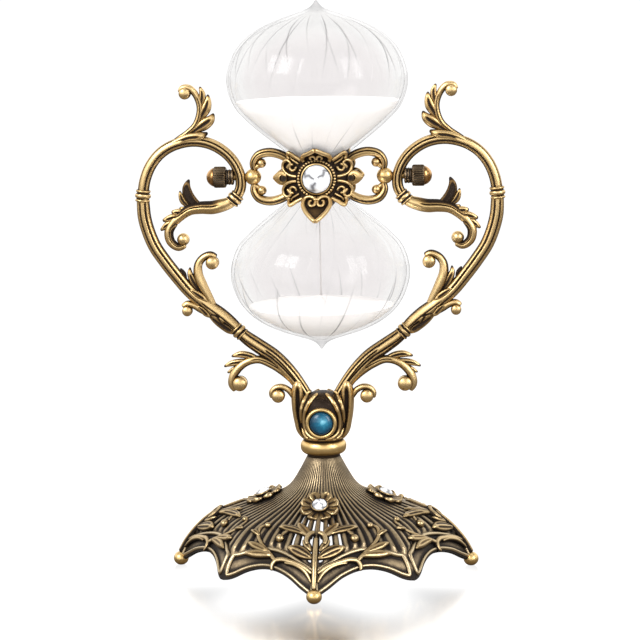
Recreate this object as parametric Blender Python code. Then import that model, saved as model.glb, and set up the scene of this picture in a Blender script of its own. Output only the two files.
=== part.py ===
"""Tilting hourglass: a fluted two-bulb glass carried by two pivot pins in a heart-shaped
scroll frame, on a scalloped, umbrella-like base with four ball feet.

Lengths below are in millimetres and become metres when a mesh is made. X runs along the
pivot pins, -Y is the front and +Z is up, with the origin on the table under the middle of
the base. Pieces that tilt are modelled about the pivot axis and hang on its empty.
"""

import math

import bmesh
import bpy
from mathutils import Matrix, Vector

MM = 0.001
GAP = 0.3  # air between neighbouring pieces

PIVOT_Z = 175.0  # height of the pivot axis above the table
GLASS_SIDES = 16
GLASS_WALL = 1.3
NECK_BORE = 1.2
FILL_HOLE = 0.9
GLASS_END = 72.6  # the glass stops here and a seal tip closes it
TIP_END = 75.0
SAND_UPPER_TOP = 33.0
SAND_LOWER_TOP = -56.0
PILE_HEIGHT = 3.0
STREAM_RADIUS = 0.5

PIN_RADIUS = 1.5
PIN_BORE = 1.8
PIN_BALL_X, PIN_BALL_RADIUS = 29.0, 3.6
PIN_END_X = 44.6
HOOP_INNER_X, HOOP_OUTER_X = 32.9, 37.3  # faces machined on the hoop where the pin passes
NUT_RADIUS = 4.7
NUT_START_X, NUT_RIM_X, NUT_END_X = 40.9, 46.2, 49.5
WASHER_RADIUS = 3.0

COLLAR_BORE, COLLAR_LENGTH = 3.1, 4.2
SCREW_X, SCREW_RADIUS, SCREW_BORE = 14.6, 1.0, 1.35
MEDALLION_BACK, MEDALLION_THICK = 11.2, 1.8

CANOPY_RADIUS = 66.0
CANOPY_WALL = 1.6
CANOPY_TOP_Z = 50.1
CANOPY_TOP_UNDERSIDE = 46.0
CUSPS = 8
FOOT_R, FOOT_Z, FOOT_RADIUS = 65.3, 2.9, 3.1
FLOWER_R = 25.0
BOLT_RADIUS, BOLT_BORE = 2.1, 2.5

SIDES = {"left": -1, "right": 1}
QUARTERS = {"front": -90, "right": 0, "back": 90, "left": 180}

# Outer radius of one bulb at each height above the waist.
BULB = [
    (0, 4.5), (3, 4.9), (6, 7.4), (9.2, 11.9), (15.6, 20.1), (25, 31.1), (30, 35.7), (35, 38.1),
    (43.3, 39.4), (50.5, 37.7), (56.1, 35), (62.8, 28.4), (67.7, 20.1), (71, 9), (GLASS_END, 2.4),
]

# Paths in the frame's plane, as distance from the middle, height and half-thickness.
HOOP = [
    (36.9, 166.0, 2.35), (34.7, 170, 2.4), (34.5, 174, 2.4), (35.7, 178.5, 2.4), (38.6, 183.3, 2.4),
    (43.5, 187.6, 2.45), (48.8, 190.1, 2.5), (55, 191, 2.5), (61, 190.2, 2.5), (66, 188.3, 2.5),
    (70.4, 185.2, 2.5), (74.1, 180.6, 2.5), (76.8, 174.4, 2.5), (78.0, 167.6, 2.4),
]
TAIL = [
    (37.7, 165.1, 2.35), (39.8, 163.5, 2.5), (43, 162.2, 2.6), (47, 161.1, 2.6), (52.5, 160.9, 2.5),
    (57.2, 160.1, 2.4), (61.2, 157.6, 2.3), (64.8, 154.3, 2.1), (66.9, 150.6, 1.9),
    (66.2, 146.9, 1.7), (63.4, 145.1, 1.5), (60.9, 146.8, 1.2),
]
LOWER_ARM = [
    (78.15, 166.8, 2.4), (78, 162.8, 2.8), (77.7, 158.1, 3.0), (76.2, 151.7, 3.0), (73.4, 144.7, 3.0),
    (69.2, 138.2, 3.0), (63.6, 130.8, 3.0), (58.4, 124.6, 3.0), (51.2, 118.4, 3.05),
    (44.2, 113.2, 3.1), (39.4, 109.0, 2.9), (36.8, 106.4, 2.4),
]
ROOT = [
    (36.5, 106.1, 2.4), (33.6, 103.6, 2.9), (28, 99.6, 3.2), (21.4, 95, 3.2), (15.3, 88.8, 3.1),
    (10.6, 82.7, 2.9), (7.2, 77.1, 2.7), (5.2, 71.6, 2.4),
]
ACANTHUS = [
    (66, 188, 2.2), (61, 190.8, 2.6), (56, 193.8, 2.7), (51.9, 197.8, 2.6), (49.7, 202.2, 2.4),
    (49.4, 206.6, 2.1), (51.2, 211, 1.8), (54, 214, 1.6), (57.2, 215, 1.4), (59.4, 213.4, 1.2),
]
INNER_CURL = [
    (49, 118, 2.0), (51.7, 124, 1.9), (53.8, 128, 1.8), (54.9, 132.6, 1.7), (54.6, 136.6, 1.6),
    (52.6, 139.6, 1.5), (49.4, 140.4, 1.4), (47.6, 138.4, 1.2),
]
OUTER_CURL = [
    (50, 112.6, 1.7), (53.4, 115.8, 1.6), (56.8, 118.2, 1.5), (59.6, 118.8, 1.4),
    (61.4, 117.2, 1.3), (60.2, 115.2, 1.1),
]
BRANCH_CURL = [
    (12.4, 84.4, 1.7), (15.3, 85.8, 1.8), (18.9, 89.4, 1.9), (24.4, 93.2, 1.8), (29.7, 94.5, 1.8),
    (34.4, 93.4, 1.8), (37.8, 90.6, 1.8), (40.2, 86.6, 1.7), (40.4, 82.6, 1.5), (38.2, 80.6, 1.3),
    (36.6, 82.4, 1.2),
]
SOCKET_CURL = [
    (9.4, 73.5, 1.3), (12.8, 76.4, 1.3), (14.6, 79.4, 1.2), (17.2, 81.4, 1.2), (19.9, 81.7, 1.1),
    (22.1, 80.1, 1.1), (21.9, 77.6, 1.0), (20.2, 77, 1.0),
]
# The side loop of the cradle, about the pivot axis, as one strip from curl to curl.
LOOP_HALF = [
    (10.9, 0, 1.4), (11.3, 4.4, 1.4), (13.4, 7.6, 1.4), (18, 10.2, 1.4), (22.3, 10.9, 1.4),
    (27.2, 9.3, 1.4), (29.2, 5.6, 1.3), (28.3, 2.4, 1.2),
]
# Leaves, each from root to tip.
HOOP_LEAVES = [
    [(58, 192.5, 1.6), (52.8, 192.6, 1.7), (47.9, 194.3, 0.5)],
    [(53, 196.6, 1.6), (49.3, 199.4, 1.8), (46.2, 203, 0.5)],
    [(50.6, 203.6, 1.5), (48.6, 207, 1.6), (48, 211.2, 0.5)],
    [(52.6, 212.2, 1.2), (52, 213.8, 1.2), (51.2, 215.8, 0.5)],
]
TAIL_LEAVES = [
    [(55.2, 161.5, 1.8), (58.4, 167.6, 2.0), (57.2, 173.6, 0.5)],
    [(62, 157.6, 1.4), (65.4, 158.6, 1.5), (69.2, 157.2, 0.5)],
    [(66.2, 152, 1.2), (68.6, 153, 1.2), (71, 151.6, 0.5)],
]
CURL_LEAF = [(54.6, 131.6, 1.3), (56.4, 134, 1.4), (57.4, 137.4, 0.5)]
BRANCH_LEAVES = [
    [(32, 93.6, 1.5), (36, 95.8, 1.6), (40.4, 95.7, 0.5)],
    [(37.6, 90.4, 1.3), (40.6, 91.4, 1.4), (43.6, 91, 0.5)],
]
BALLS = {  # the ball in the eye of each curl
    "acanthus": (58.3, 212, 2.4), "tail": (60.8, 147.7, 2.6), "inner": (47.8, 137.4, 2.3),
    "outer": (59.8, 115.3, 2.0), "branch": (36.8, 83, 2.7), "socket": (19.9, 77.1, 2.3),
}

# Height of the canopy's skin at each distance from the middle, along a main rib.
CANOPY = [(7.4, 50.1), (10.6, 44), (15.3, 37), (25, 31.5), (35.2, 28), (49.4, 22.5), (56, 17), (61.7, 10), (65, 4)]

FINISHES = {  # colour, metallic, roughness, alpha
    "antique_brass": ((0.43, 0.28, 0.10), 1.0, 0.35, 1.0),
    "polished_brass": ((0.57, 0.36, 0.10), 1.0, 0.22, 1.0),
    "olive_brass": ((0.35, 0.29, 0.17), 1.0, 0.42, 1.0),
    "dark_brass": ((0.14, 0.09, 0.06), 1.0, 0.45, 1.0),
    "steel": ((0.45, 0.44, 0.42), 1.0, 0.35, 1.0),
    "clear_glass": ((0.93, 0.93, 0.96), 0.0, 0.02, 0.3),
    "crystal": ((0.95, 0.96, 0.98), 0.0, 0.02, 0.6),
    "teal_stone": ((0.01, 0.14, 0.24), 0.0, 0.08, 1.0),
    "white_sand": ((0.92, 0.92, 0.91), 0.0, 0.85, 1.0),
}


def clear_scene():
    for obj in list(bpy.data.objects):
        bpy.data.objects.remove(obj, do_unlink=True)


def finish(name, kind):
    """A node's own Principled material in one of the finishes."""
    colour, metallic, roughness, alpha = FINISHES[kind]
    material = bpy.data.materials.new(name)
    material.use_nodes = True
    shader = material.node_tree.nodes["Principled BSDF"]
    shader.inputs["Base Color"].default_value = (*colour, 1)
    shader.inputs["Metallic"].default_value = metallic
    shader.inputs["Roughness"].default_value = roughness
    shader.inputs["Alpha"].default_value = alpha
    return material


def empty(name, location, parent=None):
    obj = bpy.data.objects.new(name, None)
    obj.empty_display_size = 0.01
    obj.location = [v * MM for v in location]
    obj.parent = parent
    bpy.context.scene.collection.objects.link(obj)
    return obj


# --- shapes, as (vertices in mm, faces) ---


def at(table, x):
    """Straight-line reading of a table of (x, value)."""
    for (x0, y0), (x1, y1) in zip(table, table[1:]):
        if x <= x1:
            return y0 + (y1 - y0) * (x - x0) / (x1 - x0)
    return table[-1][1] + (x - table[-1][0]) * (y1 - y0) / (x1 - x0)


def ringed(rings, closed=False):
    """Skin over rings of equal length; the two ends are capped unless the rings close on themselves."""
    count = len(rings[0])
    verts = [v for ring in rings for v in ring]
    faces = []
    for i in range(len(rings) if closed else len(rings) - 1):
        here, there = i * count, (i + 1) % len(rings) * count
        for j in range(count):
            k = (j + 1) % count
            faces.append((here + j, here + k, there + k, there + j))
    if not closed:
        faces.append(tuple(range(count)))
        faces.append(tuple(range(len(verts) - count, len(verts))))
    return verts, faces


def tube(path, side=1, sides=8, depth=1.0):
    """A sweep in the XZ plane; depth is the ratio of its half-depth along Y to its half-thickness."""
    rings = []
    for i, (x, z, radius) in enumerate(path):
        before, after = path[max(i - 1, 0)], path[min(i + 1, len(path) - 1)]
        along = Vector((after[0] - before[0], after[1] - before[1])).normalized()
        ring = []
        for j in range(sides):
            turn = math.tau * (j + 0.5) / sides
            across = radius * math.cos(turn)
            ring.append((side * (x - along.y * across), radius * depth * math.sin(turn), z + along.x * across))
        rings.append(ring)
    return ringed(rings)


def turned(profile, sides=16, centre=(0, 0, 0), axis=(0, 0, 1), closed=False):
    """A profile of (radius, distance along the axis) turned about it; closed gives a ring with a bore."""
    turn_to_axis = Vector((0, 0, 1)).rotation_difference(Vector(axis)).to_matrix()
    middle = Vector(centre)
    rings = []
    for radius, along in profile:
        ring = []
        for j in range(sides):
            turn = math.tau * (j + 0.5) / sides
            spot = Vector((radius * math.cos(turn), radius * math.sin(turn), along))
            ring.append(tuple(turn_to_axis @ spot + middle))
        rings.append(ring)
    return ringed(rings, closed)


def rod(radius, start, end, sides=12, **place):
    return turned([(radius, start), (radius, end)], sides, **place)


def ball(centre, radius, sides=10, flat_below=None):
    """A sphere, or one cut level at flat_below under its middle."""
    low = -80 if flat_below is None else -math.degrees(math.asin(flat_below / radius))
    turns = [low + (80 - low) * i / 4 for i in range(5)]
    profile = [(radius * math.cos(math.radians(t)), radius * math.sin(math.radians(t))) for t in turns]
    return turned(profile, sides, centre)


def block(low, high):
    corners = [(x, y) for x, y in ((low[0], low[1]), (high[0], low[1]), (high[0], high[1]), (low[0], high[1]))]
    return ringed([[(x, y, z) for x, y in corners] for z in (low[2], high[2])])


def plate(grid, lift, thick):
    """A grid of rows of points given thickness along lift, a function of the point."""
    rows, columns = len(grid), len(grid[0])
    flat = [Vector(p) for row in grid for p in row]
    verts = [tuple(p) for p in flat] + [tuple(p + Vector(lift(p)) * thick) for p in flat]
    count = rows * columns
    faces = []
    for i in range(rows - 1):
        for j in range(columns - 1):
            a, b = i * columns + j, (i + 1) * columns + j
            faces.append((a, a + 1, b + 1, b))
            faces.append((a + count, b + count, b + 1 + count, a + 1 + count))
    edge = [j for j in range(columns)] + [i * columns + columns - 1 for i in range(1, rows)]
    edge += [(rows - 1) * columns + j for j in range(columns - 2, -1, -1)]
    edge += [i * columns for i in range(rows - 2, 0, -1)]
    for a, b in zip(edge, edge[1:] + edge[:1]):
        faces.append((a, b, b + count, a + count))
    return verts, faces


# --- objects ---


def mesh_of(name, shape):
    verts, faces = shape
    mesh = bpy.data.meshes.new(name)
    bm = bmesh.new()
    corners = [bm.verts.new([v * MM for v in p]) for p in verts]
    for face in faces:
        bm.faces.new([corners[i] for i in face])
    bmesh.ops.recalc_face_normals(bm, faces=bm.faces)
    bm.to_mesh(mesh)
    bm.free()
    mesh.shade_smooth()
    mesh.set_sharp_from_angle(angle=math.radians(40))
    return mesh


def combine(obj, shapes, operation):
    """Adds one Boolean for each shape, which stays in the file as a hidden helper."""
    for shape in shapes:
        name = f"{obj.name}_{operation.lower()}"
        helper = bpy.data.objects.new(name, mesh_of(name, shape))
        helper.parent = obj.parent
        helper.hide_render = True
        helper.display_type = "WIRE"
        bpy.context.scene.collection.objects.link(helper)
        modifier = obj.modifiers.new(name, "BOOLEAN")
        modifier.operation = operation
        modifier.object = helper


def part(name, shape, kind, parent, add=(), cut=()):
    """One sub-part: its first shape, then the shapes joined to it and those taken away."""
    obj = bpy.data.objects.new(name, mesh_of(name, shape))
    obj.data.materials.append(finish(name, kind))
    obj.parent = parent
    bpy.context.scene.collection.objects.link(obj)
    combine(obj, add, "UNION")
    combine(obj, cut, "DIFFERENCE")
    return obj


# --- base ---


def canopy_spread(level, azimuth):
    """Share of a skin point's nominal radius that it really has: 1 on the main ribs, less between."""
    pitch = math.tau / CUSPS
    local = (azimuth + pitch / 2) % pitch - pitch / 2  # from the nearest cusp
    from_middle = pitch / 2 - abs(local)
    envelope = (63.5 + 2.5 * math.cos(4 * azimuth)) / CANOPY_RADIUS
    flat_panel = envelope * math.cos(pitch / 2) / math.cos(from_middle)
    blend = min(max((level - CANOPY[0][0]) / 25, 0), 1)
    return 1 + blend * (flat_panel - 1)


def canopy_rim(azimuth):
    """Nominal radius of the rim, which is cut in an arc between the cusps."""
    pitch = math.tau / CUSPS
    across = 2 * abs((azimuth + pitch / 2) % pitch - pitch / 2) / pitch  # 0 on a cusp, 1 in the middle
    arc = (1 - math.sqrt(1 - 0.85 * (1 - across) ** 2)) / (1 - math.sqrt(0.15))
    return 59.6 + 5 * arc


def canopy_height(radius, azimuth):
    level = radius
    for _ in range(6):
        level = radius / canopy_spread(level, azimuth)
    return at(CANOPY, level)


def canopy_shape():
    around, rows = 4 * CUSPS, 6
    outer, inner = [], []
    for row in range(rows + 1):
        outside, inside = [], []
        for j in range(around):
            azimuth = math.tau * j / around
            top = CANOPY[0][0]
            level = top + (canopy_rim(azimuth) - top) * (row / rows) ** 0.9
            slope = (at(CANOPY, level + 0.5) - at(CANOPY, level - 0.5)) if row else -1.9
            drop = CANOPY_WALL * math.hypot(1, slope)
            radius = level * canopy_spread(level, azimuth)
            ray = math.cos(azimuth), math.sin(azimuth)
            outside.append((radius * ray[0], radius * ray[1], at(CANOPY, level)))
            low = min(at(CANOPY, level) - drop, CANOPY_TOP_UNDERSIDE - 0.001 * row)
            inside.append((radius * ray[0], radius * ray[1], low))
        outer.append(outside)
        inner.append(inside)
    bore = []
    for z in (CANOPY_TOP_UNDERSIDE, CANOPY_TOP_Z):
        turns = [math.tau * j / around for j in range(around)]
        bore.append([(BOLT_BORE * math.cos(t), BOLT_BORE * math.sin(t), z) for t in turns])
    seat_scale = (CANOPY[0][0] - CANOPY_WALL) / CANOPY[0][0]
    inner[0] = [(x * seat_scale, y * seat_scale, CANOPY_TOP_UNDERSIDE) for x, y, _ in inner[0]]
    return ringed([bore[0], bore[1], *outer, *inner[::-1]], closed=True)


def on_canopy(turn, out, across, lift):
    """A point above the skin, out along a main rib and across it."""
    azimuth = turn + math.atan2(across, out)
    radius = math.hypot(out, across)
    return (radius * math.cos(azimuth), radius * math.sin(azimuth), canopy_height(radius, azimuth) + lift)


def lace_half_width(out):
    """Half-width of a filigree panel: narrow at the foot, with three pairs of leaf tips above."""
    leaves = sum(reach * math.exp(-(((out - spot) / 2.6) ** 2)) for spot, reach in ((58, 2), (49.5, 9), (40, 12)))
    return 2.6 + leaves


def lace_panel(turn):
    grid = []
    for i in range(13):
        out = 34.6 + 25.4 * i / 12
        half = lace_half_width(out)
        grid.append([on_canopy(turn, out, half * c, 0.8) for c in (-1, 0, 1)])
    return plate(grid, lambda p: (0, 0, 1), 1.3)


def flower_frame(turn):
    """Turns a shape made about Z onto the rib at the flower's place."""
    slope = math.atan2(at(CANOPY, FLOWER_R - 6) - at(CANOPY, FLOWER_R + 6), 12)
    tilt = Matrix.Rotation(slope, 4, "Y")
    place = Matrix.Translation((FLOWER_R, 0, at(CANOPY, FLOWER_R)))
    return Matrix.Rotation(turn, 4, "Z") @ place @ tilt


def moved(shape, matrix):
    verts, faces = shape
    return [tuple(matrix @ Vector(v)) for v in verts], faces


def flower_shape(petals=8, reach=8.2, waist=5.8, low=1.9, high=3.4):
    rings = []
    for z, share in ((low, 1), (high, 0.96)):
        ring = []
        for j in range(petals * 2):
            turn = math.tau * j / (petals * 2)
            radius = waist + (reach - waist) * abs(math.cos(petals / 2 * turn))
            ring.append((radius * share * math.cos(turn), radius * share * math.sin(turn), z))
        rings.append(ring)
    return ringed(rings)


def build_base(stand):
    feet = {}
    for name, degrees in QUARTERS.items():
        turn = math.radians(degrees)
        feet[name] = (FOOT_R * math.cos(turn), FOOT_R * math.sin(turn), FOOT_Z)
    seats = [ball(centre, FOOT_RADIUS + GAP) for centre in feet.values()]
    part("base_canopy", canopy_shape(), "olive_brass", stand, cut=seats)
    for name, degrees in QUARTERS.items():
        turn = math.radians(degrees)
        place = flower_frame(turn)
        part(f"ball_foot_{name}", ball(feet[name], FOOT_RADIUS, 10, FOOT_Z), "polished_brass", stand)
        part(f"filigree_panel_{name}", lace_panel(turn), "antique_brass", stand)
        part(f"flower_{name}", moved(flower_shape(), place), "antique_brass", stand)
        gem = turned([(2.4, 3.7), (3.4, 4.6), (2.1, 5.7)], 8)
        part(f"flower_crystal_{name}", moved(gem, place), "crystal", stand)


def build_stem(stand):
    ring = [(BOLT_BORE, 50.4), (BOLT_BORE, 57), (7.6, 57), (9.4, 55.8), (10, 53.7), (9.4, 51.6), (7.6, 50.4)]
    part("neck_ring", turned(ring, 16, closed=True), "polished_brass", stand)

    wall = [(9, 57.3), (9.6, 62), (10.4, 68), (11.2, 73), (11, 77), (9.6, 80), (6, 81.4)]
    curls = [tube(SOCKET_CURL, side, 6, 1.3) for side in SIDES.values()]
    x, z, radius = BALLS["socket"]
    curls += [ball((side * x, 0, z), radius, 8) for side in SIDES.values()]
    wider = [(px, pz, r + 0.35) for px, pz, r in ROOT[2:-1]] + [(5.0, 71.0, 2.8)]
    cuts = [tube(wider, side, 8, 1.1) for side in SIDES.values()]
    cuts.append(rod(7.2, 8.6, 16, 20, centre=(0, 0, 66.8), axis=(0, -1, 0)))
    cuts.append(rod(BOLT_BORE, 50, 68))
    part("lotus_socket", turned(wall, 18), "antique_brass", stand, curls, cuts)

    stone = {"centre": (0, 0, 66.8), "axis": (0, -1, 0)}
    cup = [(6.85, 8.9), (6.85, 11.6), (6.3, 12.3), (5.6, 12.3), (5.55, 9.9), (0.6, 9.9), (0.6, 8.9)]
    part("stone_bezel", turned(cup, 16, closed=True, **stone), "polished_brass", stand)
    dome = [(5.2, 10.2), (5.2, 11.8), (4.4, 12.9), (2.9, 13.7), (1, 14.1)]
    part("blue_stone", turned(dome, 16, **stone), "teal_stone", stand)

    shaft = rod(BOLT_RADIUS, 42, 67)
    part("base_bolt", shaft, "steel", stand, [rod(3.8, 40.4, 43.8, 6)])
    washer = [(BOLT_BORE, 44.1), (BOLT_BORE, 45.6), (5.4, 45.6), (5.4, 44.1)]
    part("base_washer", turned(washer, 16, closed=True), "steel", stand)


# --- heart frame ---


def curl(path, ball_name, side, leaves=()):
    x, z, radius = BALLS[ball_name]
    pieces = [tube(path, side, 6, 1.25), ball((side * x, 0, z), radius, 7)]
    return pieces + [tube(leaf, side, 4, 1.3) for leaf in leaves]


def collar(above, below, side):
    """A double-beaded sleeve over the joint between two lengths of arm."""
    middle = ((above[0] + below[0]) / 2 * side, 0, (above[1] + below[1]) / 2)
    axis = Vector(((below[0] - above[0]) * side, 0, below[1] - above[1])).normalized()
    half = COLLAR_LENGTH / 2
    profile = [
        (COLLAR_BORE, -half), (COLLAR_BORE, half), (3.7, half), (4.2, half / 2), (3.8, 0),
        (4.2, -half / 2), (3.7, -half),
    ]
    return turned(profile, 10, middle, axis, closed=True)


def build_arm(name, side, stand):
    along_pin = {"centre": (0, 0, PIVOT_Z), "axis": (side, 0, 0)}
    acanthus = curl(ACANTHUS, "acanthus", side, HOOP_LEAVES)
    boss = rod(3.3, HOOP_INNER_X - 0.6, HOOP_OUTER_X + 0.6, **along_pin)
    cuts = [
        rod(4.4, 24, HOOP_INNER_X, 16, **along_pin),
        rod(3.6, HOOP_OUTER_X, 52, 16, **along_pin),
        rod(PIN_BORE, 30, 40, 10, **along_pin),
    ]
    part(f"arm_hoop_{name}", tube(HOOP, side), "antique_brass", stand, [boss, *acanthus], cuts)
    tail = curl(TAIL, "tail", side, TAIL_LEAVES)
    part(f"tail_scroll_{name}", tube(TAIL, side), "antique_brass", stand, tail[1:])
    curls = curl(INNER_CURL, "inner", side, [CURL_LEAF]) + curl(OUTER_CURL, "outer", side)
    part(f"arm_lower_{name}", tube(LOWER_ARM, side), "antique_brass", stand, curls)
    branch = curl(BRANCH_CURL, "branch", side, BRANCH_LEAVES)
    part(f"arm_root_{name}", tube(ROOT, side), "antique_brass", stand, branch)
    joints = {"inner": (HOOP[0], TAIL[0]), "middle": (HOOP[-1], LOWER_ARM[0]), "lower": (LOWER_ARM[-1], ROOT[0])}
    for place, (above, below) in joints.items():
        part(f"collar_{place}_{name}", collar(above, below, side), "polished_brass", stand)


# --- cradle, about the pivot axis ---


def bulb_radius(height):
    return at(BULB, abs(height))


def glass_inside():
    """The glass's inner wall from the waist up, as (radius, height)."""
    wall = [(NECK_BORE, 0), (1.6, 2.4)]
    for (h0, r0), (h, r), (h1, r1) in zip(BULB[2:], BULB[3:], BULB[4:]):
        normal = Vector((h1 - h0, r0 - r1)).normalized()  # (radius, height), pointing out
        wall.append((r - normal.x * GLASS_WALL, h - normal.y * GLASS_WALL))
    return [*wall, (FILL_HOLE, GLASS_END - 1.4), (FILL_HOLE, GLASS_END)]


def glass_shape():
    outside = [(r, h) for h, r in BULB]
    inside = glass_inside()
    upper = [*inside, *outside[::-1]]
    lower = [(r, -h) for r, h in upper[::-1]]
    return turned([*upper[:-1], (BULB[0][1], 0), *lower[1:-1]], GLASS_SIDES, closed=True)


def sand_wall(low, high):
    """Points just inside the glass between two heights above the waist."""
    points = [(r - GAP - 0.1, h) for r, h in glass_inside() if low < h < high]
    table = [(h, r) for r, h in glass_inside()[:-3]]
    return [*points, (at(table, high) - GAP - 0.1, high)]


def upper_sand():
    wall = [(0.7, 1.6), *sand_wall(2, SAND_UPPER_TOP)]
    surface = [(wall[-1][0] * 0.5, SAND_UPPER_TOP - 1.2), (1.5, SAND_UPPER_TOP - 2.6)]
    return turned([*wall, *surface], GLASS_SIDES)


def lower_sand():
    bottom = 70.0
    table = [(h, r) for r, h in glass_inside()[2:-2]]
    heights = [-SAND_LOWER_TOP, 59, 62, 65, 67, 68.6]
    wall = [(at(table, h) - GAP - 0.2, -h) for h in heights][::-1]
    foot = (4.0, -(bottom - 1.2))
    top = wall[-1][1]
    pile = [(6, top), (STREAM_RADIUS, top + PILE_HEIGHT), (STREAM_RADIUS, 1.2)]
    return turned([foot, *wall, *pile], GLASS_SIDES)


def seal_tip(way):
    cone = [
        (FILL_HOLE - GAP, GLASS_END - 1.2), (FILL_HOLE - GAP, GLASS_END + GAP), (2.3, GLASS_END + GAP),
        (1.2, GLASS_END + 1.2), (0.3, TIP_END),
    ]
    return turned(cone, 12, axis=(0, 0, way))


def medallion_back(x, z):
    """Distance of the medallion's back from the middle: flat, curled back at the sides, clear of the glass."""
    flat = MEDALLION_BACK - 0.022 * x * x
    glass = math.sqrt(max((bulb_radius(z) + 0.9) ** 2 - x * x, 0))
    return max(flat, glass)


def medallion_shape(way):
    """A plate of eight petals whose tips follow the flare of the glass."""
    reaches = [19.4, 16.4, 15.4, 16.4]
    around = 24
    rings_back, rings_front = [], []
    for share in (0.12, 0.42, 0.72, 1):
        back, front = [], []
        for j in range(around):
            turn = math.tau * j / around
            reach = reaches[round(turn / math.radians(45)) % 4]
            radius = share * (10.2 + (reach - 10.2) * abs(math.cos(4 * turn)) ** 0.8)
            x, z = radius * math.cos(turn), radius * math.sin(turn)
            depth = medallion_back(x, z)
            back.append((x, way * depth, z))
            front.append((x, way * (depth + MEDALLION_THICK), z))
        rings_back.append(back)
        rings_front.append(front)
    return ringed([*rings_back, *rings_front[::-1]])


def screw_holes(radius, reach):
    return [rod(radius, -reach, reach, 10, centre=(side * SCREW_X, 0, 0), axis=(0, 1, 0)) for side in SIDES.values()]


def clamp_half(way):
    """Half a ring round the glass's neck."""
    rings = []
    for radius, z in ((5.7, -2.8), (8.8, -2.8), (8.8, 2.8), (5.7, 2.8)):
        edge = math.asin(GAP / radius)
        turns = [edge + (math.pi - 2 * edge) * j / 8 for j in range(9)]
        rings.append([(radius * math.cos(t), way * radius * math.sin(t), z) for t in turns])
    across = [[ring[j] for ring in rings] for j in range(9)]
    return ringed(across)


def build_clamp(name, way, cradle):
    ears = []
    for side in SIDES.values():
        xs, ys = sorted((side * 7.2, side * 17)), sorted((way * 2.1, way * 4.4))
        ears.append(block((xs[0], ys[0], -2.4), (xs[1], ys[1], 2.4)))
    stub = rod(4, 7.4, MEDALLION_BACK - 1, axis=(0, way, 0))
    part(f"waist_clamp_{name}", clamp_half(way), "dark_brass", cradle, [*ears, stub], screw_holes(SCREW_BORE, 12))
    part(f"medallion_{name}", medallion_shape(way), "antique_brass", cradle, cut=screw_holes(SCREW_BORE, 20))
    face = MEDALLION_BACK + MEDALLION_THICK + GAP
    gem = [(4.4, face), (5.6, face + 1), (3.3, face + 2.3)]
    part(f"medallion_crystal_{name}", turned(gem, 12, axis=(0, way, 0)), "crystal", cradle)


def build_loop(name, side, cradle):
    path = [(x, -h, r) for x, h, r in LOOP_HALF[:0:-1]] + LOOP_HALF
    low_x, high_x = sorted((side * 10.6, side * 17.2))
    lug = block((low_x, -1.8, -2.6), (high_x, 1.8, 2.6))
    cuts = [
        ball((side * PIN_BALL_X, 0, 0), PIN_BALL_RADIUS + GAP, 12),
        rod(SCREW_BORE, -5, 5, 10, centre=(side * SCREW_X, 0, 0), axis=(0, 1, 0)),
    ]
    part(f"scroll_loop_{name}", tube(path, side, 8, 1.3), "antique_brass", cradle, [lug], cuts)
    head = MEDALLION_BACK + MEDALLION_THICK - 0.022 * SCREW_X**2 + 1.1
    shaft = {"centre": (side * SCREW_X, 0, 0), "axis": (0, 1, 0)}
    profile = [(1.9, -head - 0.9), (1.9, -head), (SCREW_RADIUS, -head), (SCREW_RADIUS, head), (1.9, head), (1.9, head + 0.9)]
    part(f"medallion_screw_{name}", turned(profile, 10, **shaft), "dark_brass", cradle)
    eye = ball((side * PIN_BALL_X, 0, 0), PIN_BALL_RADIUS, 14)
    pin = rod(PIN_RADIUS, PIN_BALL_X, PIN_END_X, 12, axis=(side, 0, 0))
    part(f"pivot_pin_{name}", eye, "polished_brass", cradle, [pin])


def build_nut(name, side, cradle):
    nut_axis = empty(f"{name}_nut_axis", (0, 0, 0), cradle)
    way = {"axis": (side, 0, 0)}
    start, end = HOOP_OUTER_X + GAP, NUT_START_X - GAP
    washer = [(PIN_BORE, start), (PIN_BORE, end), (WASHER_RADIUS, end), (WASHER_RADIUS, start)]
    part(f"spacer_washer_{name}", turned(washer, 16, closed=True, **way), "dark_brass", cradle)
    outline = [
        (4.3, NUT_START_X), (NUT_RADIUS, NUT_START_X + 0.4), (NUT_RADIUS, NUT_RIM_X - 0.4), (4.3, NUT_RIM_X),
        (4.0, NUT_RIM_X + 0.8), (2.8, NUT_END_X - 0.9), (1, NUT_END_X),
    ]
    bore = rod(PIN_BORE, NUT_START_X - 2, NUT_RIM_X - 1.0, 12, **way)
    part(f"knurled_nut_{name}", turned(outline, 14, **way), "dark_brass", nut_axis, cut=[bore])


def build_cradle(stand):
    cradle = empty("cradle_axis", (0, 0, PIVOT_Z), stand)
    part("glass_vessel", glass_shape(), "clear_glass", cradle)
    part("sand_upper", upper_sand(), "white_sand", cradle)
    part("sand_lower", lower_sand(), "white_sand", cradle)
    part("seal_tip_top", seal_tip(1), "clear_glass", cradle)
    part("seal_tip_bottom", seal_tip(-1), "clear_glass", cradle)
    for name, way in {"front": -1, "back": 1}.items():
        build_clamp(name, way, cradle)
    for name, side in SIDES.items():
        build_loop(name, side, cradle)
        build_nut(name, side, cradle)


def main():
    clear_scene()
    stand = empty("stand", (0, 0, 0))
    build_base(stand)
    build_stem(stand)
    for name, side in SIDES.items():
        build_arm(name, side, stand)
    build_cradle(stand)


main()
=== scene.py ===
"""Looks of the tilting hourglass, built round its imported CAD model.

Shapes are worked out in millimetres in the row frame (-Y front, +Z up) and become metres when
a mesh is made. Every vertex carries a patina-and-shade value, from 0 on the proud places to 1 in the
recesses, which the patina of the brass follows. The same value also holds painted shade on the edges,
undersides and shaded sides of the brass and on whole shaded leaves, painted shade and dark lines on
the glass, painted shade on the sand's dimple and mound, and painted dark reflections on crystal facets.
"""

import math

import bpy
import numpy as np
from mathutils import Matrix, Vector


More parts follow.
